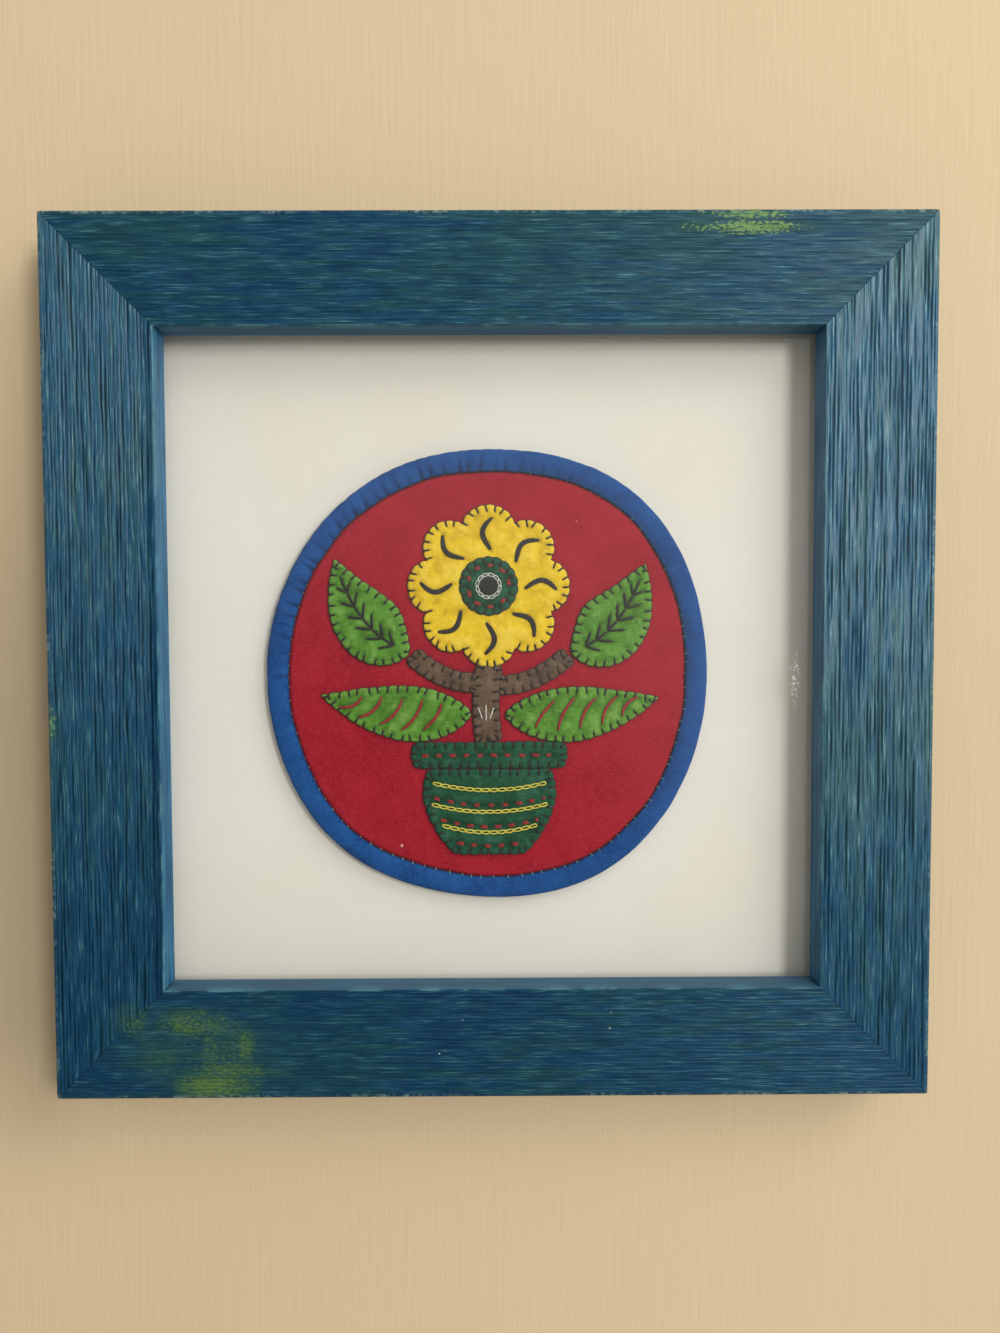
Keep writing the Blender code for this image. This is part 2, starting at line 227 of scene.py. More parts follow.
@dataclass
class Shape:
    """Points, faces and per-corner texture places of one mesh, gathered from several nets."""

    points: list[Array] = field(default_factory=list)
    faces: list[list[int]] = field(default_factory=list)
    corners: list[Array] = field(default_factory=list)
    count: int = 0

    def grid(self, net: Array, u: Array, v: Array, wrap_rows: bool = False,
             wrap_columns: bool = False) -> None:
        """Adds a net of quads over two parameters.

        Args:
            net: (rows, columns, 3) points.
            u: texture place of each column, one more than the columns if they wrap.
            v: texture place of each row, one more than the rows if they wrap.
            wrap_rows: the last row joins the first.
            wrap_columns: the last column joins the first.
        """
        rows, columns = net.shape[:2]
        i, j = np.meshgrid(
            np.arange(rows if wrap_rows else rows - 1),
            np.arange(columns if wrap_columns else columns - 1),
            indexing="ij",
        )
        i, j = i.ravel(), j.ravel()
        corner_row = np.stack([i, i, i + 1, i + 1], 1)
        corner_column = np.stack([j, j + 1, j + 1, j], 1)
        ids = (corner_row % rows) * columns + corner_column % columns + self.count
        self.points.append(net.reshape(-1, 3))
        self.faces += ids.tolist()
        self.corners.append(np.stack([u[corner_column], v[corner_row]], 2).reshape(-1, 2))
        self.count += rows * columns

    def cap(self, first: int, count: int) -> None:
        """Closes a ring of points already added: count of them from first."""
        self.faces.append(list(range(first, first + count)))
        self.corners.append(np.zeros((count, 2)))

    def tubes(self, lines: Array, radius: float | Array, sides: int = 6, flat: float = 1.0) -> None:
        """Adds closed tubes: a flattened round section carried along each path, a little thinner at its ends.

        A section point is the path's, plus radius * (cos(turn) side + flat * sin(turn) lift).

        Args:
            lines: (tubes, points, 3) paths.
            radius: thread radius, one or per tube and point.
            sides: corners of the section.
            flat: height of the section over its width.
        """
        tubes, steps = lines.shape[:2]
        side, lift, length = thread_frame(lines)
        ends = np.ones(steps)
        ends[[0, -1]] = 0.6
        size = np.broadcast_to(np.asarray(radius, float), (tubes, steps)) * ends
        turn = np.arange(sides) / sides * TURN
        ring = (
            np.cos(turn)[None, None, :, None] * side[:, :, None]
            + np.sin(turn)[None, None, :, None] * lift[:, :, None] * flat
        )
        net = lines[:, :, None] + ring * size[:, :, None, None]
        k, i, j = np.meshgrid(np.arange(tubes), np.arange(steps - 1), np.arange(sides), indexing="ij")
        k, i, j = k.ravel(), i.ravel(), j.ravel()
        corner_row = np.stack([i, i, i + 1, i + 1], 1)
        corner_turn = np.stack([j, j + 1, j + 1, j], 1)
        ids = (k[:, None] * steps + corner_row) * sides + corner_turn % sides + self.count
        self.points.append(net.reshape(-1, 3))
        self.faces += ids.tolist()
        place = np.stack([length[k[:, None], corner_row], corner_turn / sides], 2)
        self.corners.append(place.reshape(-1, 2))
        starts = self.count + np.arange(tubes) * steps * sides
        for last, order in ((0, 1), (steps - 1, -1)):
            rings = starts[:, None] + last * sides + np.arange(sides)[None, ::-order]
            self.faces += rings.tolist()
            self.corners.append(np.zeros((rings.size, 2)))
        self.count += tubes * steps * sides

    def build(self, name: str, finish: Material, sharp_deg: float = 50, seal: bool = False,
              marks: dict[str, Array] | None = None) -> Piece:
        """Makes the object.

        Args:
            name: its name.
            finish: its material.
            sharp_deg: edges sharper than this stay crisp.
            seal: merges doubled points and turns the faces outwards.
            marks: values for each point, kept as attributes that materials read.

        Returns:
            The linked object, at the origin.
        """
        mesh = bpy.data.meshes.new(name)
        points = np.concatenate(self.points)
        mesh.from_pydata(points.tolist(), [], self.faces)
        layer = mesh.uv_layers.new(name="cloth_grain")
        layer.data.foreach_set("uv", np.concatenate(self.corners).ravel())
        for mark, values in (marks or {}).items():
            kept = mesh.attributes.new(mark, "FLOAT", "POINT")
            kept.data.foreach_set("value", np.asarray(values, float).ravel())
        if seal:
            merged = bmesh.new()
            merged.from_mesh(mesh)
            bmesh.ops.remove_doubles(merged, verts=merged.verts, dist=1e-6)
            bmesh.ops.recalc_face_normals(merged, faces=merged.faces)
            merged.to_mesh(mesh)
            merged.free()
        mesh.shade_smooth()
        mesh.set_sharp_from_angle(angle=math.radians(sharp_deg))
        mesh.materials.append(finish)
        piece = bpy.data.objects.new(name, mesh)
        bpy.context.scene.collection.objects.link(piece)
        return piece


def attach(piece: Piece, slot: str, *nodes: str) -> Piece:
    """Makes a piece part of the panel.

    Args:
        piece: the object.
        slot: name of a material slot for it; not used.
        nodes: the solids that it stands for.

    Returns:
        The same object.
    """
    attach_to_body(piece, BODY)
    if nodes:
        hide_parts(*nodes)
    log.info("%s: %d points, %d faces", piece.name, len(piece.data.vertices), len(piece.data.polygons))
    return piece


# Finishes


class Recipe:
    """A node material in the making."""

    def __init__(self, name: str) -> None:
        """Starts from the usual shader and output.

        Args:
            name: the material's name.
        """
        self.material = bpy.data.materials.new(name)
        self.material.use_nodes = True
        self.tree = self.material.node_tree
        self.shader = self.tree.nodes["Principled BSDF"]
        self.output = self.tree.nodes["Material Output"]

    def add(self, kind: str, inputs: dict | None = None, **settings: object) -> bpy.types.Node:
        """Adds a node.

        Args:
            kind: node type without its ShaderNode prefix.
            inputs: socket name or number to a value, or to another node's socket.
            settings: the node's own properties.

        Returns:
            The node.
        """
        node = self.tree.nodes.new("ShaderNode" + kind)
        for key, value in settings.items():
            setattr(node, key, value)
        for key, value in (inputs or {}).items():
            self.feed(node, key, value)
        return node

    def feed(self, node: bpy.types.Node, key: str | int, value: object) -> None:
        """Sets an input or links a socket to it.

        Args:
            node: the node.
            key: the input's name or number.
            value: a plain value, or another node's socket.
        """
        if isinstance(value, Socket):
            self.tree.links.new(value, node.inputs[key])
        else:
            node.inputs[key].default_value = value

    def math(self, operation: str, *values: object, clamp: bool = False) -> Socket:
        """A Math node's result."""
        node = self.add("Math", dict(enumerate(values)), operation=operation, use_clamp=clamp)
        return node.outputs[0]

    def ramp(self, value: object, low: float, high: float, floor: float = 0.0, top: float = 1.0) -> Socket:
        """Maps low..high to floor..top with a smooth step."""
        inputs = {"Value": value, 1: low, 2: high, 3: floor, 4: top}
        return self.add("MapRange", inputs, interpolation_type="SMOOTHSTEP").outputs[0]

    def times(self, first: object, second: object) -> Socket:
        """A product of two numbers or sockets."""
        return self.math("MULTIPLY", first, second)

    def blend(self, share: object, first: object, second: object) -> Socket:
        """Mixes two colours by the second one's share."""
        first, second = (opaque(tone) if isinstance(tone, tuple) else tone for tone in (first, second))
        return self.add("Mix", {0: share, 6: first, 7: second}, data_type="RGBA").outputs[2]

    def place(self, stretch: Sequence[float] = (1, 1, 1), turn: float = 0.0, uv: bool = False) -> Socket:
        """Texture coordinates, stretched, and turned about the line of sight.

        Args:
            stretch: scale of each axis.
            turn: turn about y, in radians.
            uv: the piece's own coordinates instead of the object's.

        Returns:
            The coordinates' socket.
        """
        source = self.add("TexCoord").outputs["UV" if uv else "Object"]
        turned = self.add("Mapping", {"Vector": source, "Rotation": (0, turn, 0), "Scale": tuple(stretch)})
        return turned.outputs[0]

    def grain(self, stretch: Sequence[float], sway: float = 1.2 * MM) -> Socket:
        """Own texture coordinates along and across a rail, swaying sideways like wood grain, then stretched.

        Args:
            stretch: scale along, across and out.
            sway: how far the grain strays to each side.

        Returns:
            The coordinates' socket.
        """
        source = self.add("TexCoord").outputs["UV"]
        slow = self.add("Mapping", {"Vector": source, "Scale": (38, 90, 1)}).outputs[0]
        side = self.times(self.math("SUBTRACT", self.noise(slow, 1.0, 1.0), 0.5), 2 * sway)
        shift = self.add("CombineXYZ", {1: side}).outputs[0]
        swayed = self.add("VectorMath", {0: source, 1: shift}, operation="ADD").outputs[0]
        return self.add("Mapping", {"Vector": swayed, "Scale": tuple(stretch)}).outputs[0]

    def noise(self, vector: object, scale: float, detail: float = 2.0, rough: float = 0.5) -> Socket:
        """A Noise texture's value."""
        inputs = {"Vector": vector, "Scale": scale, "Detail": detail, "Roughness": rough}
        return self.add("TexNoise", inputs).outputs[0]

    def reach(self, middle: Sequence[float], scale: Sequence[float]) -> Socket:
        """Scaled distance from a middle: the length of (place - middle) * scale.

        Args:
            middle: the place that it is measured from.
            scale: scale of each axis; 0 leaves one out.

        Returns:
            The distance's socket.
        """
        where = self.add("TexCoord").outputs["Object"]
        away = self.add("VectorMath", {0: where, 1: middle}, operation="SUBTRACT").outputs[0]
        scaled = self.add("VectorMath", {0: away, 1: scale}, operation="MULTIPLY").outputs[0]
        return self.add("VectorMath", {0: scaled}, operation="LENGTH").outputs["Value"]

    def mark(self, name: str) -> Socket:
        """A point attribute's value."""
        return self.add("Attribute", attribute_name=name).outputs["Fac"]

    def bump(self, height: object, distance: float, strength: float = 1.0, under: object = None) -> Socket:
        """A bumped normal.

        Args:
            height: relief, from 0 to 1.
            distance: height in metres that 1 stands for.
            strength: share of the effect.
            under: normal that it is laid over.

        Returns:
            The normal's socket.
        """
        node = self.add("Bump", {"Height": height, "Distance": distance, "Strength": strength})
        if under is not None:
            self.feed(node, "Normal", under)
        return node.outputs[0]

    def finish(self, **inputs: object) -> Material:
        """Feeds the shader's inputs.

        Args:
            inputs: input name, an underscore standing for a space, to its value or socket.

        Returns:
            The material.
        """
        for key, value in inputs.items():
            self.feed(self.shader, key.replace("_", " "), value)
        return self.material


def opaque(colour: Sequence[float]) -> tuple[float, float, float, float]:
    """A colour with full cover."""
    return (colour[0], colour[1], colour[2], 1.0)


@dataclass(frozen=True)
class ClothFinish:
    """Plain-woven cotton: dyed colour, its paler worn thread and a second dye tone in soft blotches.

    The edge mark brings the pale tone where an edge is worn, or, if a seam colour is given, the dark one as a
    painted shadow along the seam. The mark of how far the cloth is drawn down, about a third on even cloth,
    paints shade where the cloth is drawn down and a highlight where it puffs up.
    """

    name: str
    colour: Colour
    pale: Colour
    deep: Colour
    grain_turn: float = 0.0
    lint: float = 0.0
    worn_edge: float = 0.4
    seam: Colour | None = None

    def make(self) -> Material:
        """Builds the material: crossed bands of thread, slubs, blotches, a worn edge and a little lint.

        Returns:
            The material.
        """
        r = Recipe(self.name)
        grain = r.place(turn=self.grain_turn)
        warp = r.add("TexWave", {"Vector": grain, "Scale": 760.0, "Distortion": 0.6}, bands_direction="X")
        weft = r.add("TexWave", {"Vector": grain, "Scale": 760.0, "Distortion": 0.6}, bands_direction="Z")
        weave = r.times(warp.outputs["Fac"], weft.outputs["Fac"])
        slub_warp = r.noise(r.place((2300, 1, 420), self.grain_turn), 1.0, 2.0)
        slub_weft = r.noise(r.place((420, 1, 2300), self.grain_turn), 1.0, 2.0)
        slub = r.math("ADD", slub_warp, slub_weft)
        blotch = r.noise(grain, 130.0, 3.0)
        tone = r.blend(r.ramp(blotch, 0.38, 0.66), self.colour, self.deep)
        tone = r.blend(r.ramp(slub, 0.88, 1.3, 0.0, 0.5), tone, self.pale)
        tone = r.blend(r.ramp(weave, 0.0, 0.5, 0.35, 0.0), tone, self.deep)
        # Painted shade and highlight: cloth drawn down is darkened, puffed cloth lightened.
        relief_shade_and_highlight = r.mark("relief_shade_and_highlight")
        painted_hollow_shade = tuple(part * 0.62 for part in self.deep)
        tone = r.blend(r.ramp(relief_shade_and_highlight, 0.38, 1.0, 0.0, 0.75), tone, painted_hollow_shade)
        tone = r.blend(r.ramp(relief_shade_and_highlight, 0.0, 0.34, 0.42, 0.0), tone, self.pale)
        # Painted shadow: with a seam colour, the edge mark lays a dark line evenly and strongly along the seam.
        even = 0.0 if self.seam is None else 0.7
        worn = r.times(r.mark("edge"), r.ramp(r.noise(grain, 700.0, 2.0), 0.35, 0.65, even, 1.0))
        tone = r.blend(r.times(worn, self.worn_edge), tone, self.seam or self.pale)
        if self.lint:
            spots = r.add("TexVoronoi", {"Vector": grain, "Scale": 115.0}, feature="F1")
            speck = r.ramp(spots.outputs["Distance"], 0.035, 0.07, 1.0, 0.0)
            rare = r.ramp(r.noise(grain, 60.0, 1.0), 0.56, 0.60)
            tone = r.blend(r.times(r.times(speck, rare), self.lint), tone,
                           (0.75, 0.68, 0.62, 1.0))
        threads = r.bump(weave, 0.12 * MM, 0.5)
        slubs = r.bump(slub, 0.10 * MM, 0.6, threads)
        return r.finish(Base_Color=tone, Normal=slubs, Roughness=0.90, Specular_IOR_Level=0.12,
                        Sheen_Weight=0.07, Sheen_Roughness=0.45)


@dataclass(frozen=True)
class ThreadFinish:
    """Twisted cotton floss: the strands run slantwise round the thread."""

    name: str
    colour: Colour
    shade: Colour
    pitch: float = 0.9 * MM
    plies: float = 2.0

    def make(self) -> Material:
        """Builds the material from the thread's own texture place: length in metres and share of a turn.

        Returns:
            The material.
        """
        r = Recipe(self.name)
        split = r.add("SeparateXYZ", {0: r.place(uv=True)})
        around = r.times(split.outputs[1], self.plies)
        turns = r.math("ADD", r.math("DIVIDE", split.outputs[0], self.pitch), around)
        strand = r.math("ABSOLUTE", r.math("SINE", r.times(turns, math.pi)))
        tone = r.blend(r.ramp(strand, 0.0, 0.6), self.shade, self.colour)
        fuzz = r.noise(r.place(), 2600.0, 2.0)
        tone = r.blend(r.ramp(fuzz, 0.3, 0.7, 0.0, 0.35), tone, self.shade)
        normal = r.bump(strand, 0.12 * MM, 0.7)
        return r.finish(Base_Color=tone, Normal=normal, Roughness=0.62, Specular_IOR_Level=0.35,
                        Sheen_Weight=0.15, Sheen_Roughness=0.4)


@dataclass(frozen=True)
class RubbedSpot:
    """A place on the face where older green paint shows, measured from the frame's centre."""

    right: float
    up: float
    half_width: float
    half_height: float
    strength: float
    front: float = -22.5 * MM
    half_depth: float = 9 * MM


def rubbed_spots(*rows: tuple[float, float, float, float, float]) -> tuple[RubbedSpot, ...]:
    """Spots from rows of right, up, half width and half height in millimetres, and strength."""
    return tuple(RubbedSpot(*(size * MM for size in row[:4]), row[4]) for row in rows)


@dataclass(frozen=True)
class CombedPaint:
    """Blue paint over older green on combed wood: dark grooves, crests paled by dry brush and painted sheen,
    rubbed spots.
    """

    name: str
    groove: Colour = (0.0015, 0.018, 0.030)
    deep_blue: Colour = (0.0015, 0.030, 0.076)
    deep_teal: Colour = (0.003, 0.037, 0.058)
    pale_blue: Colour = (0.014, 0.100, 0.188)
    pale_teal: Colour = (0.027, 0.112, 0.146)
    deep_line: Colour = (0.018, 0.085, 0.120)
    pale_line_and_glint: Colour = (0.150, 0.330, 0.385)
    smooth: Colour = (0.030, 0.150, 0.280)
    dragged: Colour = (0.013, 0.075, 0.160)
    lip_shade: Colour = (0.044, 0.093, 0.133)
    nose: Colour = (0.110, 0.290, 0.340)
    olive: Colour = (0.094, 0.170, 0.036)
    sage: Colour = (0.155, 0.270, 0.095)
    stained: Colour = (0.024, 0.082, 0.052)
    worn: Colour = (0.300, 0.440, 0.400)
    olive_spots: tuple[RubbedSpot, ...] = ()
    sage_spots: tuple[RubbedSpot, ...] = ()

    def spot_mask(self, r: Recipe, spots: Sequence[RubbedSpot], centre_up: float) -> Socket:
        """Nearness to a rubbed spot: 1 at its centre, falling with scaled distance.

        Args:
            r: the recipe.
            spots: the spots.
            centre_up: height of the frame's centre.

        Returns:
            The mask's socket.
        """
        mask: object = 0.0
        for spot in spots:
            middle = (spot.right, spot.front, centre_up + spot.up)
            scale = (1 / spot.half_width, 1 / spot.half_depth, 1 / spot.half_height)
            near = r.math("SUBTRACT", 1.3, r.reach(middle, scale), clamp=True)
            mask = r.math("MAXIMUM", mask, r.times(near, spot.strength))
        return mask

    def blue_coat(self, r: Recipe) -> tuple[Socket, Socket]:
        """The blue paint: dark grooves, a body paled by dry brush and painted sheen, and pale broken lines.

        The texture place runs along the rail and across it, in metres.

        Args:
            r: the recipe.

        Returns:
            The colour and the fine streaks.
        """
        ridge = r.mark("crest")
        streak = r.noise(r.grain((95, 3100, 1)), 1.0, 3.0, 0.6)
        band = r.noise(r.grain((20, 330, 1)), 1.0, 3.0, 0.6)
        patch = r.noise(r.grain((75, 420, 1)), 1.0, 3.0, 0.6)
        cloud = r.noise(r.place(), 22.0, 3.0, 0.6)
        # The pale share is partly dry-brushed paint and partly painted sheen and light falloff.
        dry_brush_and_sheen = r.math("ADD", r.mark("dry_brush_and_sheen"), r.math("SUBTRACT", patch, 0.5), clamp=True)
        hue = r.ramp(r.math("ADD", r.math("ADD", band, cloud), r.mark("teal")), 0.83, 1.17)
        deep = r.blend(hue, self.deep_blue, self.deep_teal)
        pale = r.blend(hue, self.pale_blue, self.pale_teal)
        tone = r.blend(dry_brush_and_sheen, deep, pale)
        tone = r.blend(r.ramp(streak, 0.28, 0.44, 0.6, 0.0), tone, self.groove)
        tone = r.blend(r.ramp(ridge, 0.04, 0.46), self.groove, tone)
        # Pale broken lines on the crests: partly dry-brushed paint, partly a painted highlight on the ridge
        # tops.
        line = r.blend(dry_brush_and_sheen, self.deep_line, self.pale_line_and_glint)
        shown = r.times(r.ramp(ridge, 0.60, 0.92), r.ramp(streak, 0.52, 0.65))
        shown = r.times(shown, r.ramp(patch, 0.30, 0.62, 0.25, 1.0))
        return r.blend(shown, tone, line), streak

    def rub(self, r: Recipe, tone: Socket, centre_up: float) -> Socket:
        """Older green paint that shows in soft stains with ragged dabs on the crests, and a few pale specks.

        Args:
            r: the recipe.
            tone: the colour so far.
            centre_up: height of the frame's centre.

        Returns:
            The colour.
        """
        ridge = r.mark("crest")
        olive = self.spot_mask(r, self.olive_spots, centre_up)
        sage = self.spot_mask(r, self.sage_spots, centre_up)
        near = r.times(r.math("MAXIMUM", olive, sage), r.mark("combed"))
        wide = r.noise(r.place(), 55.0, 5.0, 0.66)
        stain = r.times(r.ramp(near, 0.0, 0.9), r.ramp(wide, 0.34, 0.62, 0.15, 1.0))
        stain = r.times(stain, r.ramp(ridge, 0.05, 0.5, 0.25, 0.8))
        tone = r.blend(stain, tone, self.stained)
        small = r.noise(r.grain((760, 1500, 1)), 1.0, 3.0, 0.65)
        cover = r.math("ADD", r.times(near, 0.27), r.times(wide, 0.45))
        patchy = r.math("ADD", small, cover)
        is_sage = r.math("GREATER_THAN", sage, olive)
        soft = r.times(r.ramp(patchy, 0.87, 1.20, 0.0, 0.85), r.math("SUBTRACT", 1.0, is_sage))
        crisp = r.times(r.ramp(patchy, 0.94, 1.00, 0.0, 0.95), is_sage)
        shown = r.times(r.math("ADD", soft, crisp), r.ramp(near, 0.18, 0.42))
        shown = r.times(shown, r.ramp(ridge, 0.15, 0.65, 0.15, 1.0))
        tone = r.blend(shown, tone, r.blend(is_sage, self.olive, self.sage))
        specks = r.add("TexVoronoi", {"Vector": r.place(), "Scale": 80.0}, feature="F1")
        few = r.ramp(r.noise(r.place(), 31.0, 1.0), 0.60, 0.62)
        rare = r.math("MAXIMUM", few, r.ramp(near, 0.45, 0.5))
        dot = r.times(r.ramp(specks.outputs["Distance"], 0.012, 0.026, 1.0, 0.0), rare)
        return r.blend(r.times(dot, 0.8), tone, (0.50, 0.56, 0.46, 1.0))

    def make(self, centre_up: float) -> Material:
        """Builds the material.

        Args:
            centre_up: height of the frame's centre.

        Returns:
            The material.
        """
        r = Recipe(self.name)
        coat, streak = self.blue_coat(r)
        drag = r.noise(r.grain((26, 620, 1)), 1.0, 3.0, 0.6)
        plain = r.blend(r.ramp(drag, 0.36, 0.62), self.smooth, self.dragged)
        # Painted shade: the level rails' lips take a darker, greyer paint, more on the bottom lip than the top.
        plain = r.blend(r.mark("lip_shade"), plain, self.lip_shade)
        tone = self.rub(r, r.blend(r.mark("combed"), plain, coat), centre_up)
        handled = r.noise(r.place(), 75.0, 4.0, 0.6)
        # Painted highlight: a pale line along the lip's rounded nose, broken up by noise.
        nose_highlight = r.times(r.mark("nose"), r.ramp(handled, 0.45, 0.64, 0.03, 0.8))
        tone = r.blend(nose_highlight, tone, self.nose)
        chips = r.ramp(r.noise(r.place(), 700.0, 4.0, 0.65), 0.42, 0.62)
        rubs = r.ramp(handled, 0.42, 0.66, 0.06, 0.6)
        bare = r.times(r.times(r.mark("edge"), chips), rubs)
        tone = r.blend(bare, tone, self.worn)
        rough = r.ramp(r.mark("crest"), 0.0, 1.0, 0.60, 0.46)
        normal = r.bump(streak, 0.08 * MM, 0.6)
        r.finish(Specular_IOR_Level=0.25)
        gloss = r.ramp(r.mark("dry_brush_and_sheen"), 0.15, 0.8, 0.11, 0.42)
        gloss = r.times(gloss, r.ramp(r.mark("crest"), 0.1, 0.6, 0.5, 1.0))
        return r.finish(Base_Color=tone, Roughness=rough, Normal=normal, Specular_IOR_Level=gloss)


@dataclass(frozen=True)
class CardFinish:
    """Off-white card with a soft fibre tooth."""

    name: str
    colour: Colour = (0.740, 0.722, 0.675)

    def make(self) -> Material:
        """Builds the material.

        Returns:
            The material.
        """
        r = Recipe(self.name)
        fibre = r.noise(r.place(), 900.0, 4.0, 0.6)
        cloud = r.noise(r.place(), 14.0, 2.0)
        aged = (self.colour[0] * 0.965, self.colour[1] * 0.945, self.colour[2] * 0.90, 1.0)
        tone = r.blend(r.ramp(cloud, 0.3, 0.75), self.colour, aged)
        tone = r.blend(r.ramp(fibre, 0.35, 0.7, 0.0, 0.12), tone, (0.60, 0.57, 0.52, 1.0))
        return r.finish(Base_Color=tone, Roughness=0.92, Specular_IOR_Level=0.2,
                        Normal=r.bump(fibre, 0.05 * MM, 0.5))


@dataclass(frozen=True)
class BoardFinish:
    """Pressed fibreboard: brown, with darker matted fibres."""

    name: str
    colour: Colour = (0.24, 0.15, 0.085)

    def make(self) -> Material:
        """Builds the material.

        Returns:
            The material.
        """
        r = Recipe(self.name)
        mat = r.noise(r.place(), 260.0, 6.0, 0.7)
        fleck = r.noise(r.place((900, 1, 260)), 1.0, 3.0)
        tone = r.blend(r.ramp(mat, 0.3, 0.7), self.colour, (0.15, 0.088, 0.048, 1.0))
        tone = r.blend(r.ramp(fleck, 0.58, 0.74, 0.0, 0.6), tone, (0.34, 0.235, 0.14, 1.0))
        return r.finish(Base_Color=tone, Roughness=0.78, Normal=r.bump(mat, 0.12 * MM, 0.7))


@dataclass(frozen=True)
class SteelFinish:
    """Thin rolled steel with fine scratches."""

    name: str
    colour: Colour = (0.50, 0.50, 0.51)

    def make(self) -> Material:
        """Builds the material.

        Returns:
            The material.
        """
        r = Recipe(self.name)
        scratch = r.noise(r.place((300, 300, 4200)), 1.0, 3.0)
        tone = r.blend(r.ramp(scratch, 0.3, 0.7), self.colour, (0.36, 0.36, 0.38, 1.0))
        return r.finish(Base_Color=tone, Metallic=1.0, Roughness=r.ramp(scratch, 0.2, 0.8, 0.28, 0.5))


@dataclass(frozen=True)
class GlassFinish:
    """A thin clear pane: light passes straight on, and a share that grows at a slant is mirrored.

    A dry scuff of dust lies near the right edge.
    """

    name: str
    scuff_right: float = 91.5 * MM
    scuff_up: float = -6.0 * MM
    scuff_scale: tuple[float, float, float] = (700.0, 0.0, 130.0)

    def make(self, centre_up: float) -> Material:
        """Builds the material.

        Args:
            centre_up: height of the frame's centre.

        Returns:
            The material.
        """
        r = Recipe(self.name)
        clear = r.add("BsdfTransparent", {"Color": (0.990, 0.995, 0.992, 1.0)})
        mirror = r.add("BsdfGlossy", {"Color": (1.0, 1.0, 1.0, 1.0), "Roughness": 0.04})
        front_only = r.math("SUBTRACT", 1.0, r.add("NewGeometry").outputs["Backfacing"])
        slant = r.times(r.add("Fresnel", {"IOR": 1.45}).outputs[0], front_only)
        pane = r.add("MixShader", {0: slant, 1: clear.outputs[0], 2: mirror.outputs[0]})
        far = r.reach((self.scuff_right, 0.0, centre_up + self.scuff_up), self.scuff_scale)
        where = r.add("TexCoord").outputs["Object"]
        dust = r.ramp(r.noise(where, 1300.0, 4.0, 0.7), 0.50, 0.66)
        cover = r.times(r.math("SUBTRACT", 1.3, far, clamp=True), dust)
        cover = r.times(cover, 0.75)
        chalk = r.add("BsdfDiffuse", {"Color": (0.85, 0.84, 0.82, 1.0)})
        whole = r.add("MixShader", {0: cover, 1: pane.outputs[0], 2: chalk.outputs[0]})
        r.tree.links.new(whole.outputs[0], r.output.inputs["Surface"])
        r.tree.nodes.remove(r.shader)
        return r.material


# Frame


